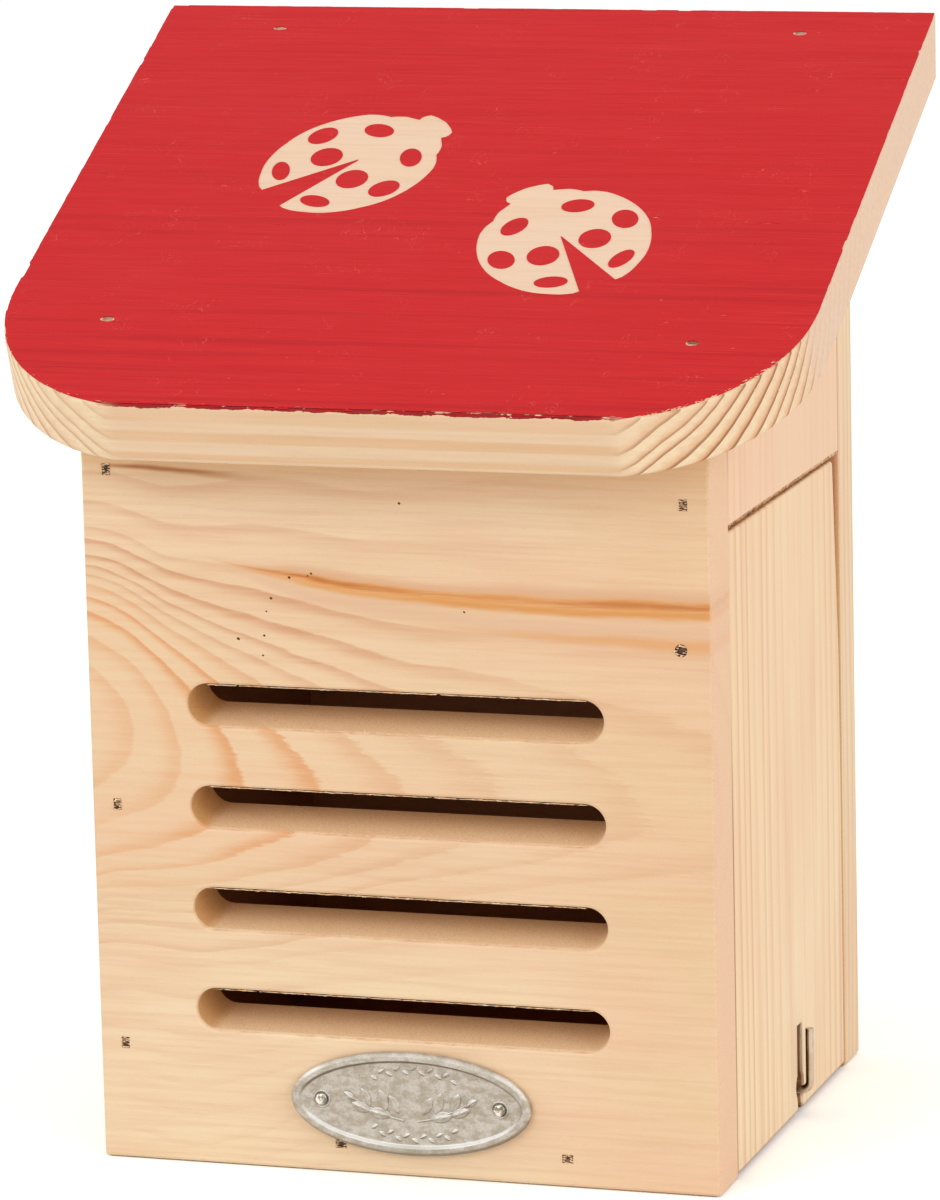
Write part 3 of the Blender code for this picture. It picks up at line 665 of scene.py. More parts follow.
def make_roof_pine():
    """The roof board: rings tilted across it, so that end grain slants up its rounded corners."""
    material, tree, shader, place, x, y, z = pine("roof pine")
    object_place = put(tree, "TexCoord").outputs["Object"]
    low = mapped(tree, object_place, move=(0, -FRONT_FACE, -ROOF_HEIGHT))
    slope = mapped(tree, mapped(tree, low, turn=(-ROOF_PITCH, 0, 0)), size=(1000, 1000, 1000))
    parts = put(tree, "SeparateXYZ", {0: slope})
    up_slope, out = parts.outputs[1], parts.outputs[2]
    tilt = math.radians(49)
    aside = calc(tree, "ABSOLUTE", x)
    front_end = ramp(tree, up_slope, 20.0, 10.0)
    lean = calc(tree, "MULTIPLY", out, front_end)
    upright = calc(tree, "MULTIPLY_ADD", lean, -ROOF_LEAN / ROOF_THICK, up_slope)
    upright = calc(tree, "ADD", upright, ramp(tree, aside, 53.5, 64.0, 0.0, 2.0))
    sway = noise(tree, mapped(tree, slope, size=(0.10, 1.0, 1.0)), 0.14, 2.0, 0.5)
    level = calc(tree, "MULTIPLY_ADD", sway, 0.5, -0.25)
    level = calc(tree, "MULTIPLY_ADD", out, math.cos(tilt), level)
    level = calc(tree, "MULTIPLY_ADD", upright, -math.sin(tilt), level)
    ring = curve(tree, level, ROOF_YEARS, 0.0, 20.0)
    side_on = ramp(tree, aside, 51.0, 58.0)
    on_top = ramp(tree, out, -0.30, -0.10)
    plain = ramp(tree, up_slope, 3.0, 13.0, 1.0, 0.12)
    strength = calc(tree, "MULTIPLY", curve(tree, level, ROOF_DARKNESS), plain)
    strength = calc(tree, "MULTIPLY", strength, ramp(tree, x, -66.0, 40.0, 0.55, 1.0))
    strength = calc(tree, "MULTIPLY", strength, ramp(tree, side_on, 0.0, 1.0, 0.8, 1.0))
    strength = calc(tree, "MULTIPLY", strength, ramp(tree, on_top, 0.0, 1.0, 1.0, 0.25))
    right_end = ramp(tree, x, 51.0, 60.0)
    late = mix(tree, right_end, shade(214, 166, 124), shade(216, 156, 104))
    early = mix(tree, side_on, shade(240, 208, 172), shade(252, 228, 188))
    early = mix(tree, ramp(tree, up_slope, 0.0, 12.0), early, shade(240, 208, 180))
    over_foot = calc(tree, "MULTIPLY_ADD", sway, 0.6, calc(tree, "ADD", out, ROOF_THICK - 0.3))
    bands = curve(tree, over_foot, ROOF_BANDS)
    in_front = calc(tree, "SUBTRACT", 1.0, calc(tree, "MAXIMUM", side_on, on_top))
    early = mix(tree, calc(tree, "MULTIPLY", bands, in_front), early, shade(232, 188, 142))
    across_face = calc(tree, "MAXIMUM", side_on, on_top)
    soft_rings = calc(tree, "MULTIPLY", strength, calc(tree, "MULTIPLY", across_face, 0.8))
    wood = figure(tree, ring, slope, soft_rings, 1.6, early, late, shade(243, 206, 170))
    season = calc(tree, "FRACT", ring)
    flank = calc(tree, "MULTIPLY", ramp(tree, season, 0.30, 0.85), ramp(tree, season, 0.99, 0.95))
    flank = calc(tree, "MULTIPLY", calc(tree, "MULTIPLY", flank, strength), calc(tree, "MULTIPLY", side_on, 0.55))
    flanked = mix(tree, flank, wood.outputs["Color"], shade(232, 160, 98))
    line = calc(tree, "MULTIPLY", ramp(tree, season, 0.70, 0.90), ramp(tree, season, 0.99, 0.94))
    line = calc(tree, "MULTIPLY", calc(tree, "MULTIPLY", line, strength), calc(tree, "MULTIPLY", side_on, 0.9))
    dark = mix(tree, right_end, shade(166, 118, 84), shade(138, 76, 34))
    colour = mix(tree, line, flanked, dark)
    grainy = noise(tree, place, 1.6, 3.0, 0.7)
    wood = use_group(tree, sawn_face_and_shade, {
        "Color": colour, "Height": wood.outputs["Height"], "Place": place,
        "Mask": calc(tree, "MULTIPLY", side_on, 0.12), "Tone": shade(240, 206, 176),
    })
    # Painted shade on the roof's underside inside the house
    under = calc(tree, "MULTIPLY", ramp(tree, out, -12.6, -12.9), inside_house(tree, x, y))
    wood = saw(tree, wood, place, under, INSIDE_SHADE)

    chips = noise(tree, mapped(tree, slope, size=(0.22, 0.5, 1.0)), 0.9, 3.0, 0.7)
    paint_depth = calc(tree, "MULTIPLY_ADD", chips, -1.5, 0.38)
    edge_paint = ramp(tree, calc(tree, "SUBTRACT", out, paint_depth), 0.0, 0.06)
    edge_paint = calc(tree, "MULTIPLY", edge_paint, ramp(tree, out, -0.02, -0.05))
    on_arris = calc(tree, "MULTIPLY", ramp(tree, out, -0.30, -0.05), ramp(tree, chips, 0.40, 0.45))
    on_arris = calc(tree, "MULTIPLY", on_arris, ramp(tree, up_slope, ROOF_FRONT / MM + 1.2, ROOF_FRONT / MM + 0.8))
    edge_paint = calc(tree, "MAXIMUM", edge_paint, on_arris)
    edge_paint = calc(tree, "MULTIPLY", edge_paint, ramp(tree, aside, 58.0, 50.0))
    colour = mix(tree, edge_paint, wood.outputs["Color"], shade(150, 24, 26))
    tree.links.new(colour, shader.inputs["Base Color"])
    tree.links.new(calc(tree, "MULTIPLY_ADD", grainy, 0.15, 0.5), shader.inputs["Roughness"])
    feed_bump(tree, shader, wood.outputs["Height"], 0.05 * MM, 0.55)
    return material


# ---- paint and metals

def make_red_paint():
    """Flat red paint on planed pine, thin enough that the grain shows as fine lines across it."""
    material, tree, shader = new_material("red paint", shade(208, 30, 34), 0.5, specular=0.15)
    object_place = put(tree, "TexCoord").outputs["Object"]
    place = mapped(tree, object_place, size=(1000, 1000, 1000))
    brushed = noise(tree, mapped(tree, place, size=(0.03, 1.0, 1.0)), 0.75, 4.0, 0.6)
    lines = noise(tree, mapped(tree, place, size=(0.02, 1.0, 1.0)), 2.8, 3.0, 0.6)
    patches = noise(tree, place, 0.03, 2.0, 0.5)
    colour = mix(tree, ramp(tree, brushed, 0.3, 0.7, 0.0, 0.6), shade(202, 24, 28), shade(212, 36, 38))
    colour = mix(tree, ramp(tree, lines, 0.54, 0.70, 0.0, 0.32), colour, shade(172, 16, 22))
    colour = mix(tree, ramp(tree, lines, 0.42, 0.27, 0.0, 0.24), colour, shade(226, 78, 70))
    colour = mix(tree, ramp(tree, patches, 0.4, 0.7, 0.0, 0.25), colour, shade(204, 38, 40))
    height = put(tree, "SeparateXYZ", {0: place}).outputs[2]
    long_bands = noise(tree, mapped(tree, place, size=(0.012, 1.0, 1.0)), 0.42, 2.0, 0.6)
    long_bands = calc(tree, "MULTIPLY", ramp(tree, long_bands, 0.50, 0.68, 0.0, 0.42),
                      ramp(tree, height, 208.0, 180.0, 0.3, 1.0))
    colour = mix(tree, long_bands, colour, shade(176, 18, 24))
    wisp = band(tree, noise(tree, place, 0.30, 1.0, 0.5, 0.8), 0.5, 0.007)
    worn = ramp(tree, noise(tree, place, 0.10, 1.0, 0.5), 0.56, 0.66, 0.0, 0.5)
    colour = mix(tree, calc(tree, "MULTIPLY", wisp, worn), colour, shade(230, 108, 98))
    specks = noise(tree, mapped(tree, place, size=(0.30, 1.0, 1.0)), 1.45, 1.0, 0.5)
    colour = mix(tree, ramp(tree, specks, 0.80, 0.83, 0.0, 0.7), colour, shade(228, 120, 108))
    tree.links.new(colour, shader.inputs["Base Color"])
    rough = calc(tree, "MULTIPLY_ADD", lines, 0.18, 0.42)
    tree.links.new(rough, shader.inputs["Roughness"])
    feed_bump(tree, shader, calc(tree, "MULTIPLY_ADD", brushed, 0.6, lines), 0.06 * MM, 0.5)
    return material


def faces_towards(tree, direction, low, high):
    """1 where the surface looks this way, 0 where it looks aside, by the object's own axes."""
    normal = put(tree, "TexCoord").outputs["Normal"]
    share = put(tree, "VectorMath", {0: normal, 1: direction}, operation="DOT_PRODUCT").outputs["Value"]
    return ramp(tree, share, low, high)


def make_cast_zinc():
    """Cast zinc: pale grey with fine grit; a painted highlight where the relief looks up, painted shade where it
    looks down.
    """
    material, tree, shader = new_material("cast zinc", shade(206, 200, 190), 0.45, metallic=0.5)
    place = mapped(tree, put(tree, "TexCoord").outputs["Object"], size=(1000, 1000, 1000))
    grit = noise(tree, place, 2.4, 4.0, 0.75)
    stains = noise(tree, mapped(tree, place, size=(0.6, 1.0, 1.0)), 0.55, 3.0, 0.6)
    colour = mix(tree, ramp(tree, stains, 0.38, 0.62), shade(202, 195, 184), shade(176, 166, 148))
    colour = mix(tree, ramp(tree, grit, 0.48, 0.74, 0.0, 0.6), colour, shade(138, 128, 110))
    colour = mix(tree, ramp(tree, grit, 0.42, 0.24, 0.0, 0.4), colour, shade(234, 231, 224))
    # Painted highlight where the relief looks up, weaker along the top of the rim
    up = faces_towards(tree, (0.0, -0.35, 0.94), 0.55, 0.92)
    middle = (plate_low.z + plate_high.z) / 2 / MM
    height = put(tree, "SeparateXYZ", {0: place}).outputs[2]
    up = calc(tree, "MULTIPLY", up, ramp(tree, height, middle + 8.0, middle + 6.5, 0.2, 1.0))
    # Painted shade where the relief looks down, and along the plate's lower rim
    down = faces_towards(tree, (0.25, -0.20, -0.95), 0.40, 0.90)
    on_rim = calc(tree, "SUBTRACT", middle, height)
    below = ramp(tree, on_rim, 8.6, 9.4, 0.0, 0.4)
    colour = mix(tree, calc(tree, "MULTIPLY", up, 0.75), colour, shade(250, 249, 246))
    colour = mix(tree, calc(tree, "MULTIPLY", down, 0.85), colour, shade(112, 100, 82))
    colour = mix(tree, below, colour, shade(158, 148, 132))
    tree.links.new(colour, shader.inputs["Base Color"])
    rough = calc(tree, "MULTIPLY_ADD", grit, 0.25, calc(tree, "MULTIPLY_ADD", up, -0.10, 0.34))
    tree.links.new(rough, shader.inputs["Roughness"])
    feed_bump(tree, shader, grit, 0.10 * MM, 0.6)
    return material


def make_plated_wire():
    """Bright zinc-plated wire with a painted dark reflection, olive, on the side that looks forward."""
    material, tree, shader = new_material("plated wire", shade(222, 214, 196), 0.22, metallic=0.9)
    place = mapped(tree, put(tree, "TexCoord").outputs["Object"], size=(1000, 1000, 1000))
    smear = noise(tree, mapped(tree, place, size=(1.0, 1.0, 0.4)), 0.8, 3.0, 0.6)
    # Painted dark reflection on the side that looks forward, broken by smears
    away = faces_towards(tree, (-0.95, -0.30, 0.0), 0.05, 0.62)
    film = calc(tree, "MULTIPLY", away, ramp(tree, smear, 0.25, 0.5, 0.7, 1.0))
    colour = mix(tree, ramp(tree, smear, 0.42, 0.70, 0.0, 0.6), shade(204, 186, 164), shade(172, 150, 120))
    colour = mix(tree, film, colour, shade(96, 74, 50))
    tree.links.new(colour, shader.inputs["Base Color"])
    tree.links.new(calc(tree, "MULTIPLY_ADD", smear, 0.14, 0.18), shader.inputs["Roughness"])
    return material


def make_polished_pin():
    """Nickel-plated pins: bright crowns, grey patches, painted shade on each head's right and a painted dark
    reflection on its upper left.
    """
    material, tree, shader = new_material("polished pin", shade(226, 224, 218), 0.2, metallic=0.95)
    place = mapped(tree, put(tree, "TexCoord").outputs["Object"], size=(1000, 1000, 1000))
    smear = noise(tree, place, 0.75, 3.0, 0.6)
    # Painted shade on the right of each head and a painted dark reflection on its upper left
    shaded = faces_towards(tree, (0.85, -0.45, -0.15), 0.45, 0.80)
    upper = faces_towards(tree, (-0.55, -0.25, 0.80), 0.50, 0.85)
    colour = mix(tree, ramp(tree, smear, 0.48, 0.62), shade(236, 232, 224), shade(150, 138, 114))
    colour = mix(tree, calc(tree, "MULTIPLY", shaded, 0.8), colour, shade(70, 58, 40))
    colour = mix(tree, calc(tree, "MULTIPLY", upper, 0.55), colour, shade(104, 92, 68))
    tree.links.new(colour, shader.inputs["Base Color"])
    tree.links.new(calc(tree, "MULTIPLY_ADD", smear, 0.15, 0.14), shader.inputs["Roughness"])
    return material


def make_dull_steel(name, dark, light, metallic):
    """Coated brads and bare nails: dark, blotched and dull."""
    material, tree, shader = new_material(name, dark, 0.5, metallic=metallic)
    place = mapped(tree, put(tree, "TexCoord").outputs["Object"], size=(1000, 1000, 1000))
    blotch = noise(tree, place, 1.0, 2.0, 0.6)
    tree.links.new(mix(tree, ramp(tree, blotch, 0.44, 0.66), dark, light), shader.inputs["Base Color"])
    tree.links.new(calc(tree, "MULTIPLY_ADD", blotch, 0.3, 0.35), shader.inputs["Roughness"])
    feed_bump(tree, shader, blotch, 0.1 * MM, 0.6)
    return material


def make_plain_wood(name, light, dark):
    """Loose fibres and resin specks."""
    material, tree, shader = new_material(name, light, 0.7, specular=0.2)
    place = mapped(tree, put(tree, "TexCoord").outputs["Object"], size=(1000, 1000, 1000))
    tone = noise(tree, place, 0.8, 2.0, 0.6)
    tree.links.new(mix(tree, ramp(tree, tone, 0.3, 0.7), light, dark), shader.inputs["Base Color"])
    return material


front_pine = make_front_pine()
side_pine = make_side_pine()
back_pine = make_back_pine()
floor_pine = make_floor_pine()
roof_pine = make_roof_pine()
red_paint = make_red_paint()
cast_zinc = make_cast_zinc()
plated_wire = make_plated_wire()
polished_pin = make_polished_pin()
brad_steel = make_dull_steel("brad steel", shade(72, 46, 26), shade(190, 156, 112), 0.3)
nail_steel = make_dull_steel("nail steel", shade(70, 42, 24), shade(112, 72, 42), 0.3)
roof_brad_steel = make_dull_steel("roof brad steel", shade(176, 142, 122), shade(232, 214, 196), 0.3)
torn_wood = make_plain_wood("torn wood", shade(252, 226, 190), shade(228, 186, 142))
sawn_fibre = make_plain_wood("sawn fibre", shade(236, 190, 138), shade(158, 112, 68))
resin_speck = make_plain_wood("resin speck", shade(112, 78, 52), shade(70, 44, 28))

for node, finish in {
    "front_panel": front_pine, "back_panel": back_pine, "left_side_panel": side_pine,
    "right_side_upper": side_pine, "side_door": side_pine, "floor_board": floor_pine,
    "roof_board": roof_pine, "door_pivot_nail_front": nail_steel, "door_pivot_nail_rear": nail_steel,
}.items():
    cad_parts[node].data.materials[0] = finish
for node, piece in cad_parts.items():
    if node.startswith(("front_brad", "rear_brad")):
        piece.data.materials[0] = brad_steel
    if node.startswith("roof_brad"):
        piece.data.materials[0] = roof_brad_steel


# ---- the painted roof and its ladybirds

# Half a ladybird from above, from the parting of its wing cases to its head: degrees from the head, radius
LADYBIRD_EDGE = ((169, 20.75), (165, 21.0), (159, 20.8), (150, 20.2), (141, 19.8), (128, 19.1), (115, 18.5),
                 (101, 18.3), (88, 18.1), (75, 18.0), (62, 18.1), (51, 18.3), (43, 18.15), (35, 17.7),
                 (31, 18.2), (25, 18.8), (19, 18.95), (14.6, 19.2), (15.0, 20.1), (14.4, 20.9), (12.4, 21.9),
                 (8, 22.2), (4, 22.3), (0, 22.45))


def ladybird_outline():
    """A ladybird from above with parted wing cases and a small broad head. X points to the head."""
    half = [(0.9, 0.1)]
    for (turn, radius), (next_turn, next_radius) in zip(LADYBIRD_EDGE, LADYBIRD_EDGE[1:]):
        count = max(1, round((turn - next_turn) / 2.5))
        for i in range(count):
            at = math.radians(turn + (next_turn - turn) * i / count)
            reach = radius + (next_radius - radius) * i / count
            half.append((reach * math.cos(at), reach * math.sin(at)))
    half.append((LADYBIRD_EDGE[-1][1], 0.0))
    return half + [(x, -y) for x, y in reversed(half[:-1])]


LADYBIRDS = (((-26.5, 67.3), 44.5), ((26.8, 40.1), 125.2))
# The spots on one wing case: x, y, half length, half width, degrees
LADYBIRD_SPOTS = ((9.9, 7.1, 3.5, 2.35, 117), (-0.3, 13.8, 3.5, 2.7, 4), (-3.7, 5.75, 3.5, 3.4, 0),
                  (-13.8, 7.8, 3.55, 1.95, 62))

# Places on the roof where pine shows: brads as x, y, across, up; scratches as x, y, length, width
ROOF_BRADS = ((-62.9, 7.2, 1.45, 0.85), (63.4, 4.1, 1.25, 0.8), (-59.0, 119.3, 1.35, 0.7),
              (59.0, 119.6, 1.35, 0.75))
ROOF_SCRATCHES = ((69.0, 47.1, 5.8, 0.22), (44.7, 48.5, 1.6, 0.3), (-35.5, 42.8, 2.4, 0.2),
                  (-14.0, 121.0, 1.2, 0.25), (31.0, 90.0, 0.9, 0.25), (-72.0, 30.0, 1.0, 0.2))


def place_figure(points, centre, turn):
    cosine, sine = math.cos(math.radians(turn)), math.sin(math.radians(turn))
    return [((centre[0] + x * cosine - y * sine) * MM, (centre[1] + x * sine + y * cosine) * MM)
            for x, y in points]


def oval(x, y, across, up, turn=0, steps=15, luck=None):
    """A small oval opening in the paint, ragged where luck is given."""
    points = []
    for c, s in arc((0, 0), 1, 0, 360 - 360 / steps, steps - 1):
        ragged = 1 + 0.22 * luck.random() if luck else 1
        points.append((across * ragged * c, up * ragged * s))
    return place_figure(points, (x, y), turn)


def film_edge(luck):
    """The paint's outline: it keeps a little inside the board's edge, with fine steps and small chips."""
    side = roof_high.x - PAINT_INSET
    inner_x, inner_y = roof_high.x - ROOF_CORNER, ROOF_FRONT + ROOF_CORNER * math.cos(ROOF_FOLD)
    fold = math.degrees(ROOF_FOLD)
    rounding = ROOF_CORNER - PAINT_INSET
    edge = arc((-inner_x, inner_y), rounding, 180, 270 - fold, 40)
    edge += arc((inner_x, inner_y), rounding, 270 + fold, 360, 40)
    edge += [(side, ROOF_BACK), (-side, ROOF_BACK)]
    middle = Vector((0.0, (ROOF_FRONT + ROOF_BACK) / 2))
    ragged = []
    step, left = 0.0, 0
    for x, y in even_steps(edge, 0.55 * MM):
        if left == 0:
            left = luck.randint(2, 9)
            step = (0.10 * luck.random() ** 2 + (0.40 * luck.random() if luck.random() < 0.14 else 0.0)) * MM
        left -= 1
        inward = (middle - Vector((x, y))).normalized()
        shift = step + 0.04 * MM * luck.random()
        ragged.append((x + inward.x * shift, y + inward.y * shift))
    return ragged


def edge_slits(luck):
    """Thin slits along the front edge, where the paint has lifted from the raised grain."""
    slits = []
    fold_at = (roof_high.x - ROOF_CORNER + ROOF_CORNER * math.sin(ROOF_FOLD)) / MM
    for i in range(52):
        x = -84 + 168 * (i + luck.random()) / 52
        over = max(0.0, abs(x) - (roof_high.x - ROOF_CORNER) / MM)
        round_front = math.cos(ROOF_FOLD) * ROOF_CORNER / MM - math.sqrt((ROOF_CORNER / MM) ** 2 - over ** 2)
        beyond = abs(x) > fold_at
        front = ROOF_FRONT / MM + (round_front if beyond else 0.0)
        slope = math.degrees(math.asin(over * MM / ROOF_CORNER)) * math.copysign(1, x) if beyond else 0.0
        if luck.random() < 0.2 or abs(slope) > 60:
            continue
        longest = 0.7 if beyond else 3.6
        slits.append(oval(x, front + 0.45 + 0.7 * luck.random(), 0.4 + longest * luck.random() ** 3,
                          0.07 + 0.09 * luck.random(), slope, 9))
    return slits


def even_steps(points, step):
    """The closed outline with a point at least this often."""
    fine = []
    for (x0, y0), (x1, y1) in zip(points, points[1:] + points[:1]):
        count = max(1, round(math.hypot(x1 - x0, y1 - y0) / step))
        fine += [(x0 + (x1 - x0) * i / count, y0 + (y1 - y0) * i / count) for i in range(count)]
    return fine


def make_roof_paint():
    """A thin red film over the roof's upper face, open where the ladybirds, nails and scratches show pine."""
    luck = random.Random(7)
    outlines = [film_edge(luck)]
    for centre, turn in LADYBIRDS:
        outlines.append(place_figure(ladybird_outline(), centre, turn))
        for x, y, long, wide, tilt in LADYBIRD_SPOTS:
            for side_of_back in (1, -1):
                cosine, sine = math.cos(math.radians(tilt)), math.sin(math.radians(tilt)) * side_of_back
                spot = [(x + long * c * cosine - wide * s * sine,
                         y * side_of_back + long * c * sine + wide * s * cosine)
                        for c, s in arc((0, 0), 1, 0, 345, 23)]
                outlines.append(place_figure(spot, centre, turn))
    outlines += [oval(*brad, luck=luck) for brad in ROOF_BRADS]
    outlines += [oval(x, y, length / 2, wide / 2, steps=12) for x, y, length, wide in ROOF_SCRATCHES]
    outlines += edge_slits(luck)
    film = flat_shape("roof_paint", outlines, PAINT_ABOVE + PAINT_BELOW)
    film.matrix_world = ROOF_FRAME @ Matrix.Translation((0, 0, (PAINT_ABOVE - PAINT_BELOW) / 2))
    return settle(film, "roof_paint", "house", red_paint)


# ---- the oval plate and its pins

def plate_frame():
    """The plate's own frame: X along it, Y up it, Z out of the front panel, from its back face."""
    low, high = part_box("oval_plate")
    middle = ((low.x + high.x) / 2, high.y, (low.z + high.z) / 2)
    return Matrix.Translation(middle) @ Matrix.Rotation(math.pi / 2, 4, "X")


def select_front_face(piece):
    """Select the foremost flat face, in edit mode."""
    bpy.ops.mesh.select_all(action="DESELECT")
    bpy.ops.object.mode_set(mode="OBJECT")
    max(piece.data.polygons, key=lambda face: (round(face.center.z, 6), face.area)).select = True
    bpy.ops.object.mode_set(mode="EDIT")


def make_leaf(length, half_width):
    """A pointed leaf that stands up along a middle vein, its stem end at the origin, its tip along X."""
    bpy.ops.mesh.primitive_uv_sphere_add(segments=20, ring_count=12, radius=1)
    leaf = bpy.context.view_layer.objects.active
    for point in leaf.data.vertices:
        along = point.co.x
        narrow = max(0.0, 1 - along * along) ** 0.35
        point.co.y *= narrow
        point.co.z *= 1.0 - 0.45 * min(1.0, abs(point.co.y) * 2.5)
    leaf.scale = (length / 2, half_width, 0.55 * MM)
    leaf.location = (length / 2, 0, 0)
    bpy.ops.object.transform_apply(location=True, rotation=False, scale=True)
    return leaf


def make_stem(route, side, lift):
    """The sprig's round stem along its places, as a mesh."""
    line = bpy.data.curves.new("stem", "CURVE")
    line.dimensions = "3D"
    line.bevel_depth = 0.22 * MM
    line.bevel_resolution = 2
    line.use_fill_caps = True
    spline = line.splines.new("POLY")
    spline.points.add(len(route) - 1)
    for point, (x, y) in zip(spline.points, route):
        point.co = (side * x * MM, y * MM, lift, 1)
    stem = bpy.data.objects.new("stem", line)
    bpy.context.scene.collection.objects.link(stem)
    only(stem)
    bpy.ops.object.convert(target="MESH")
    return bpy.context.view_layer.objects.active


def make_plate():
    """The oval plate: a broad low rim round a sunk field, a sprig at each end and small leaves over and under."""
    bpy.ops.mesh.primitive_cylinder_add(vertices=128, radius=0.5, depth=1, end_fill_type="NGON")
    plate = bpy.context.view_layer.objects.active
    plate.scale = (PLATE_LENGTH, PLATE_HEIGHT, PLATE_DEEP)
    bpy.ops.object.transform_apply(location=False, rotation=False, scale=True)
    bpy.ops.object.mode_set(mode="EDIT")
    bpy.ops.mesh.select_mode(type="FACE")
    select_front_face(plate)
    bpy.ops.mesh.inset(thickness=0.75 * MM, depth=0)
    bpy.ops.mesh.inset(thickness=0.95 * MM, depth=0)
    bpy.ops.mesh.inset(thickness=0.55 * MM, depth=-PLATE_SUNK)
    bpy.ops.object.mode_set(mode="OBJECT")
    for point in plate.data.vertices:
        across = math.hypot(point.co.x / (PLATE_LENGTH / 2), point.co.y / (PLATE_HEIGHT / 2))
        if point.co.z > 0 and across > 0.999:
            point.co.z -= 0.62 * MM
    apply_modifier(plate, "BEVEL", width=0.22 * MM, segments=3, limit_method="ANGLE",
                   angle_limit=math.radians(16))
    smooth(plate, 50)

    leaf = make_leaf(5.2 * MM, 1.25 * MM)
    field = PLATE_DEEP / 2 - PLATE_SUNK
    relief = []
    for side in (-1, 1):
        for i, (along, lift, turn, size) in enumerate(SPRIG):
            angle = math.radians(turn if side > 0 else 180 - turn)
            at = (side * along * MM, lift * MM, field + 0.03 * i * MM)
            relief.append(copy_of(leaf, at, (0, 0, angle), (size, size, 1)))
        relief.append(make_stem(SPRIG_STEM, side, field + 0.1 * MM))
    for i in range(GARLAND_STEPS):
        turn = math.radians(62 + 56 * i / (GARLAND_STEPS - 1))
        for over in (1, -1):
            spot = (18.6 * math.cos(turn) * MM, over * 7.3 * math.sin(turn) ** 2 * MM, field)
            lean = math.radians((32 if i % 2 else -28) * over)
            relief.append(copy_of(leaf, spot, (0, 0, lean), (0.36, 0.42, 0.75)))
    bpy.data.objects.remove(leaf)
    for name in ("plate_nail_left", "plate_nail_right"):
        low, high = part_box(name)
        bpy.ops.mesh.primitive_torus_add(major_radius=1.72 * MM, minor_radius=0.22 * MM,
                                         major_segments=40, minor_segments=10)
        seat = bpy.context.view_layer.objects.active
        middle = plate_frame().inverted() @ Vector(((low.x + high.x) / 2, 0, (low.z + high.z) / 2))
        seat.location = (middle.x, middle.y, field + 0.06 * MM)
        relief.append(seat)
    for piece in relief:
        smooth(piece, 60)
    plate = joined([plate, *relief])
    plate.matrix_world = plate_frame() @ Matrix.Translation((0, 0, PLATE_DEEP / 2))
    settle(plate, "cast_plate", "house", cast_zinc)
    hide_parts("oval_plate")


def make_plate_pin(side):
    """A domed pin: a polished head over a plain shank."""
    node = "plate_nail_" + side
    low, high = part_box(node)
    radius = (high.x - low.x) / 2
    crown = 0.8 * MM
    bpy.ops.mesh.primitive_uv_sphere_add(segments=40, ring_count=24, radius=1)
    head = bpy.context.view_layer.objects.active
    head.scale = (radius, radius, crown)
    bpy.ops.object.transform_apply(location=False, rotation=False, scale=True)
    bpy.ops.object.mode_set(mode="EDIT")
    bpy.ops.mesh.select_all(action="SELECT")
    bpy.ops.mesh.bisect(plane_co=(0, 0, -0.12 * MM), plane_no=(0, 0, 1), use_fill=True, clear_inner=True)
    bpy.ops.object.mode_set(mode="OBJECT")
    shank_length = (high.y - low.y) - crown
    bpy.ops.mesh.primitive_cylinder_add(vertices=20, radius=0.58 * MM, depth=shank_length)
    shank = bpy.context.view_layer.objects.active
    shank.location = (0, 0, -shank_length / 2)
    pin = joined([head, shank])
    smooth(pin, 50)
    middle = ((low.x + high.x) / 2, low.y + crown, (low.z + high.z) / 2)
    pin.matrix_world = Matrix.Translation(middle) @ Matrix.Rotation(math.pi / 2, 4, "X")
    settle(pin, "plate_pin_" + side, "house", polished_pin)
    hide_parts(node)


# ---- the hook

def make_hook():
    """The wire hook: a round wire, bent square, with its cut end eased."""
    low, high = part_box("latch_hook")
    wire = 0.9 * MM
    bend = 1.9 * MM
    shank_z = low.z + wire
    leg_x = high.x - wire
    y = (low.y + high.y) / 2
    route = [(low.x, y, shank_z), (leg_x - bend, y, shank_z)]
    for i in range(1, 12):
        turn = math.radians(-90 + 90 * i / 12)
        route.append((leg_x - bend + bend * math.cos(turn), y, shank_z + bend + bend * math.sin(turn)))
    route += [(leg_x, y, shank_z + bend), (leg_x, y, high.z)]
    curve = bpy.data.curves.new("hook", "CURVE")
    curve.dimensions = "3D"
    curve.bevel_depth = wire
    curve.bevel_resolution = 10
    curve.use_fill_caps = True
    spline = curve.splines.new("POLY")
    spline.points.add(len(route) - 1)
    for point, place in zip(spline.points, route):
        point.co = (*place, 1)
    hook = bpy.data.objects.new("hook", curve)
    bpy.context.scene.collection.objects.link(hook)
    only(hook)
    bpy.ops.object.convert(target="MESH")
    hook = bpy.context.view_layer.objects.active
    apply_modifier(hook, "WELD", merge_threshold=0.001 * MM)
    apply_modifier(hook, "BEVEL", width=0.22 * MM, segments=4, limit_method="ANGLE",
                   angle_limit=math.radians(60))
    smooth(hook, 40)
    settle(hook, "wire_hook", "latch", plated_wire)
    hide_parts("latch_hook")


# ---- boards that touch

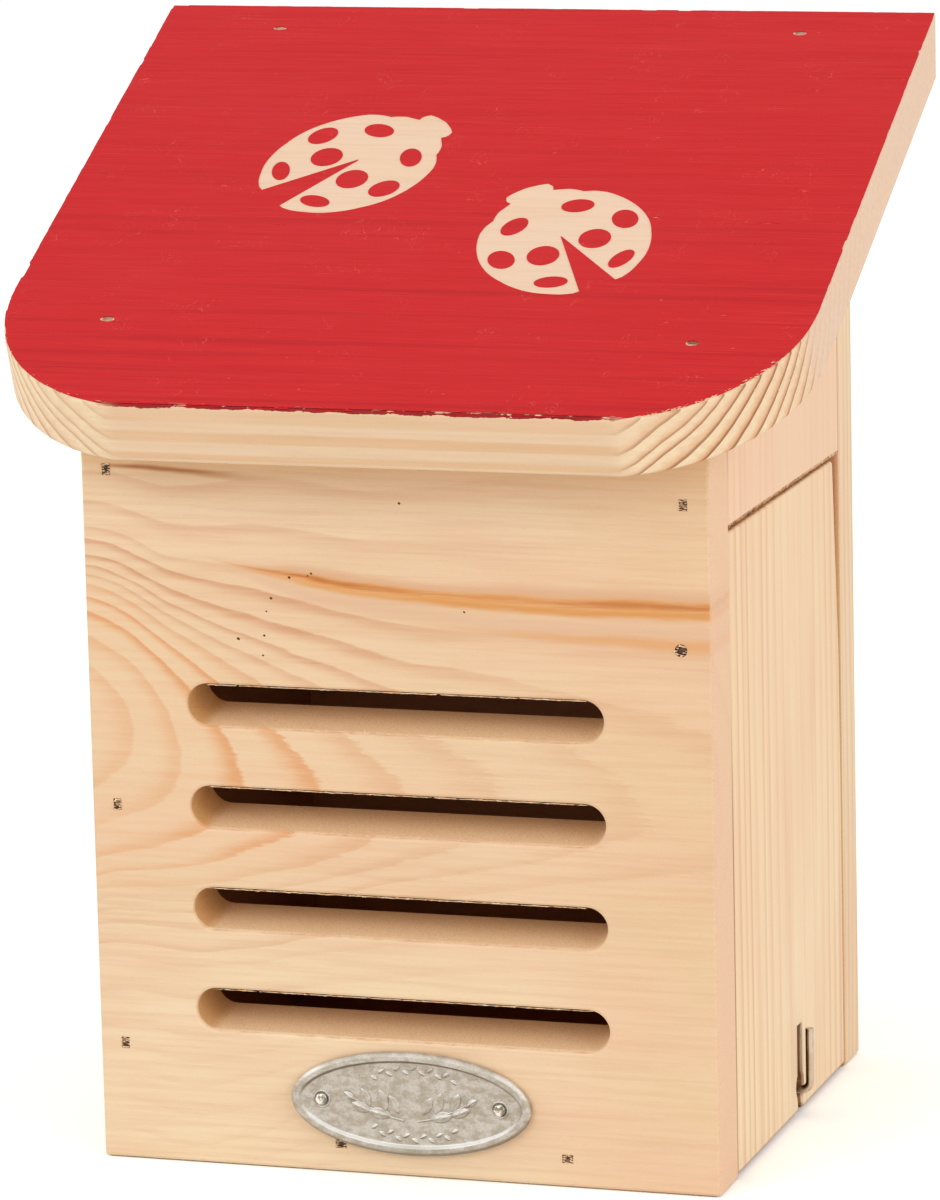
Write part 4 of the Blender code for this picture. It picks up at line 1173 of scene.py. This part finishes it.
def make_side_board(node, name, body, shift):
    """A side board copied from its solid, with each point moved by what shift gives for it."""
    board = copy_of(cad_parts[node])
    board.parent = None
    board.matrix_world = Matrix.Identity(4)
    only(board)
    bpy.ops.object.mode_set(mode="EDIT")
    bpy.ops.mesh.select_all(action="SELECT")
    bpy.ops.mesh.remove_doubles(threshold=0.001 * MM)
    bpy.ops.object.mode_set(mode="OBJECT")
    low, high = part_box(node)
    for point in board.data.vertices:
        point.co += Vector(shift(point.co.copy(), low, high))
    bpy.ops.object.mode_set(mode="EDIT")
    bpy.ops.mesh.select_all(action="SELECT")
    bpy.ops.mesh.remove_doubles(threshold=0.001 * MM)
    bpy.ops.object.mode_set(mode="OBJECT")
    smooth(board, 35)
    apply_modifier(board, "WEIGHTED_NORMAL", keep_sharp=True)
    settle(board, name, body, side_pine)
    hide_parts(node)


def touch_both_panels(place, low, high):
    """Close the play at a nailed board's two ends."""
    if place.y < low.y + END_ROUNDING:
        return (0, -JOINT_GAP, 0)
    if place.y > high.y - END_ROUNDING:
        return (0, JOINT_GAP, 0)
    return (0, 0, 0)


def lower_the_lip(place, low, high):
    """The fixed piece over the door: its outer lower arris hangs a little into the saw cut."""
    across, along, up = touch_both_panels(place, low, high)
    if place.z < low.z + END_ROUNDING and place.x > high.x - END_ROUNDING:
        up = -KERF_LIP
    if place.y > high.y - END_ROUNDING and place.x > high.x - END_ROUNDING:
        across = high.x - place.x
        along = high.y + JOINT_GAP - place.y
    return (across, along, up)


def lean_on_the_front(place, low, high):
    """The door stands a hair aslant: it touches the front panel at its top and the back panel at its foot."""
    if place.y < low.y + END_ROUNDING:
        return (0, -JOINT_GAP * (place.z - low.z) / (high.z - low.z), 0)
    if place.y > high.y - END_ROUNDING:
        return (0, JOINT_GAP - DOOR_PLAY, 0)
    return (0, 0, 0)


# ---- torn fibres and specks

def make_fibre():
    bpy.ops.mesh.primitive_cone_add(vertices=5, radius1=0.085 * MM, radius2=0.01 * MM, depth=1)
    fibre = bpy.context.view_layer.objects.active
    return fibre


def make_slot_fibres():
    """Short pale fibres that the router left standing along the slots' edges."""
    luck = random.Random(11)
    fibre = make_fibre()
    fibres = []
    reach = (SLOT_LENGTH - SLOT_HEIGHT) / 2
    for slot in range(SLOT_COUNT):
        middle = SLOT_LOWEST + SLOT_PITCH * slot
        for i in range(280):
            x = SLOT_SHIFT + luck.uniform(-reach, reach)
            upper = i % 4 != 0
            z = middle + (SLOT_HEIGHT / 2 - luck.uniform(-0.07, 0.02) * MM if upper else -SLOT_HEIGHT / 2)
            y = FRONT_FACE + luck.uniform(-0.03, 0.06) * MM
            lean = math.radians(90 + luck.gauss(0, 2.5))
            length = luck.uniform(0.6, 2.6) * MM
            turn = (luck.uniform(-0.2, 0.2), lean if luck.random() < 0.5 else -lean, 0)
            thick = luck.uniform(0.7, 1.3)
            fibres.append(copy_of(fibre, (x, y, z), turn, (thick, thick, length)))
    top_slot = SLOT_LOWEST + SLOT_PITCH * (SLOT_COUNT - 1) - SLOT_HEIGHT / 2
    for i in range(34):
        x = luck.gauss(-7.0, 4.6) * MM
        place = (x, FRONT_FACE + luck.uniform(0.05, 1.6) * MM, top_slot + 0.10 * MM)
        turn = (luck.uniform(-0.9, 0.9), math.radians(luck.uniform(35, 145)), luck.uniform(-0.6, 0.6))
        fibres.append(copy_of(fibre, place, turn, (1.7, 1.7, luck.uniform(0.5, 1.1) * MM)))
    bpy.data.objects.remove(fibre)
    fibres = joined(fibres)
    settle(fibres, "slot_fibres", "house", torn_wood)


def make_kerf_fibres():
    """Fibres left in the saw cut over the door, on the upper piece."""
    luck = random.Random(19)
    fibre = make_fibre()
    fibres = []
    for i in range(240):
        y = luck.uniform(upper_low.y + 0.6 * MM, upper_high.y - 0.6 * MM)
        length = luck.uniform(0.35, 0.8) * MM
        place = (HALF_WIDTH - luck.uniform(0.1, 0.4) * MM, y, upper_low.z - KERF_LIP + 0.2 * MM - length / 4)
        turn = (luck.uniform(-0.5, 0.5), math.pi + luck.uniform(-0.3, 0.3), 0)
        fibres.append(copy_of(fibre, place, turn, (2.4, 2.4, length)))
    bpy.data.objects.remove(fibre)
    fibres = joined(fibres)
    settle(fibres, "kerf_fibres", "house", sawn_fibre)


def make_head_fibres():
    """Torn fibres over the rims of the front panel's nail heads, which were driven through them."""
    luck = random.Random(29)
    fibre = make_fibre()
    fibres = []
    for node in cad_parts:
        if not node.startswith("front_brad") and node != "door_pivot_nail_front":
            continue
        low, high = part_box(node)
        half_x, half_z = (high.x - low.x) / 2, (high.z - low.z) / 2
        for i in range(12):
            turn = math.radians(30 * i + luck.uniform(-12, 12))
            x = (low.x + high.x) / 2 + half_x * luck.uniform(0.85, 1.2) * math.cos(turn)
            z = (low.z + high.z) / 2 + half_z * luck.uniform(0.85, 1.2) * math.sin(turn)
            lean = math.radians(luck.choice((90, -90)) + luck.gauss(0, 12))
            place = (x, FRONT_FACE - luck.uniform(0.0, 0.06) * MM, z)
            thick = luck.uniform(1.3, 2.6)
            fibres.append(copy_of(fibre, place, (0, lean, 0), (thick, thick, luck.uniform(0.45, 1.1) * MM)))
    bpy.data.objects.remove(fibre)
    settle(joined(fibres), "head_fibres", "house", torn_wood)


def make_paint_splinters():
    """Pale splinters that stick out of the torn paint round the roof's front corners."""
    luck = random.Random(23)
    fibre = make_fibre()
    inner_x, inner_y = roof_high.x - ROOF_CORNER, ROOF_FRONT + ROOF_CORNER * math.cos(ROOF_FOLD)
    fibres = []
    for i in range(110):
        side = 1 if i % 8 else -1
        turn = math.radians(luck.uniform(284, 338))
        x = side * (inner_x + ROOF_CORNER * math.cos(turn))
        y = inner_y + ROOF_CORNER * math.sin(turn)
        place = (x - side * 0.3 * MM, y + 0.1 * MM, luck.uniform(-0.20, 0.10) * MM)
        lean = math.radians(luck.choice((90, -90)) + luck.gauss(0, 5))
        size = (1.4, 1.4, luck.uniform(0.5, 1.9) * MM)
        fibres.append(copy_of(fibre, place, (0, lean, luck.uniform(-0.2, 0.9)), size))
    for i in range(46):
        turn = math.radians(luck.uniform(312, 343))
        length = luck.uniform(1.0, 4.2) * MM
        out = -luck.uniform(1.2, 9.0) * MM
        lean = ROOF_LEAN * out / ROOF_THICK
        place = (inner_x + ROOF_CORNER * math.cos(turn), inner_y + ROOF_CORNER * math.sin(turn) + lean, out)
        tilt = (luck.uniform(-0.10, 0.10), luck.uniform(-0.06, 0.06), 0)
        fibres.append(copy_of(fibre, place, tilt, (1.5, 1.5, length)))
    bpy.data.objects.remove(fibre)
    fibres = joined(fibres)
    only(fibres)
    bpy.ops.object.transform_apply(location=True, rotation=True, scale=True)
    fibres.matrix_world = ROOF_FRAME
    settle(fibres, "paint_splinters", "house", torn_wood)


def make_resin_specks():
    """Small dark resin pits in the front panel."""
    bpy.ops.mesh.primitive_ico_sphere_add(subdivisions=2, radius=1)
    speck = bpy.context.view_layer.objects.active
    specks = []
    for x, z, size in ((1.8, 142.5, 0.26), (-17.6, 127.2, 0.24), (-22.4, 126.2, 0.26), (-26.5, 121.7, 0.26),
                       (-27.6, 118.9, 0.18), (-28.2, 113.8, 0.24), (-33.9, 112.9, 0.30), (-28.6, 109.6, 0.20),
                       (15.2, 120.4, 0.22), (-18.4, 126.7, 0.16)):
        place = (x * MM, FRONT_FACE + 0.02 * MM, z * MM)
        specks.append(copy_of(speck, place, (0, 0.4, 0), (size * 1.3 * MM, 0.09 * MM, size * MM)))
    bpy.data.objects.remove(speck)
    specks = joined(specks)
    smooth(specks, 60)
    settle(specks, "resin_specks", "house", resin_speck)


# ---- floor, light and camera

def make_stage():
    """A plain pale floor that looks white where light reaches it and keeps the house's shadow."""
    bpy.ops.mesh.primitive_plane_add(size=16, location=(0, 0, -0.2 * MM))
    floor = bpy.context.view_layer.objects.active
    floor.name = "floor"
    material, tree, shader = new_material("pale floor", shade(232, 232, 232), 0.9, specular=0.1)
    seen = put(tree, "LightPath")
    direct = calc(tree, "MAXIMUM", seen.outputs["Is Camera Ray"], seen.outputs["Is Glossy Ray"])
    direct = calc(tree, "MAXIMUM", direct, seen.outputs["Is Transmission Ray"])
    paper = put(tree, "BsdfDiffuse", {"Color": (1.32, 1.32, 1.32, 1.0)})
    blend = put(tree, "MixShader", {0: direct})
    tree.links.new(shader.outputs[0], blend.inputs[1])
    tree.links.new(paper.outputs[0], blend.inputs[2])
    tree.links.new(blend.outputs[0], tree.nodes["Material Output"].inputs["Surface"])
    floor.data.materials.append(material)

    world = bpy.data.worlds.new("white room")
    bpy.context.scene.world = world
    world.use_nodes = True
    tree = world.node_tree
    room = tree.nodes["Background"]
    room.inputs["Color"].default_value = (1.0, 1.0, 1.0, 1.0)
    room.inputs["Strength"].default_value = 0.74
    seen = put(tree, "LightPath")
    direct = calc(tree, "MAXIMUM", seen.outputs["Is Camera Ray"], seen.outputs["Is Glossy Ray"])
    direct = calc(tree, "MAXIMUM", direct, seen.outputs["Is Transmission Ray"])
    white = put(tree, "Background", {"Color": (1.0, 1.0, 1.0, 1.0), "Strength": 1.0})
    blend = put(tree, "MixShader", {0: direct})
    tree.links.new(room.outputs[0], blend.inputs[1])
    tree.links.new(white.outputs[0], blend.inputs[2])
    tree.links.new(blend.outputs[0], tree.nodes["World Output"].inputs["Surface"])


def add_lamp(name, place, size, power):
    lamp = bpy.data.lights.new(name, "AREA")
    lamp.shape = "SQUARE"
    lamp.size = size
    lamp.energy = power
    holder = bpy.data.objects.new(name, lamp)
    bpy.context.scene.collection.objects.link(holder)
    holder.location = place
    aim = Vector((0, 0, 0.11)) - Vector(place)
    holder.rotation_euler = aim.to_track_quat("-Z", "Y").to_euler()


def make_lamps():
    add_lamp("key lamp", (-0.75, -1.65, 1.25), 1.1, 7.3)
    add_lamp("left lamp", (-1.8, -0.5, 0.9), 1.0, 4.5)
    add_lamp("side lamp", (1.7, -0.9, 0.9), 1.2, 10.5)


def make_camera():
    view = bpy.data.cameras.new("photograph view")
    view.lens = CAMERA_LENS
    view.sensor_width = 36
    view.clip_start = 0.05
    view.clip_end = 50
    camera = bpy.data.objects.new("photograph view", view)
    bpy.context.scene.collection.objects.link(camera)
    turn = Matrix((CAMERA_RIGHT, CAMERA_UP, CAMERA_BACK)).transposed().to_4x4()
    camera.matrix_world = Matrix.Translation(CAMERA_PLACE) @ turn
    bpy.context.scene.camera = camera


deselect()
make_roof_paint()
make_plate()
make_plate_pin("left")
make_plate_pin("right")
make_hook()
make_side_board("right_side_upper", "side_upper_board", "house", lower_the_lip)
make_side_board("left_side_panel", "side_left_board", "house", touch_both_panels)
make_side_board("side_door", "door_board", "door", lean_on_the_front)
make_slot_fibres()
make_kerf_fibres()
make_head_fibres()
make_paint_splinters()
make_resin_specks()
make_stage()
make_lamps()
make_camera()
bpy.context.scene.view_settings.view_transform = "Standard"
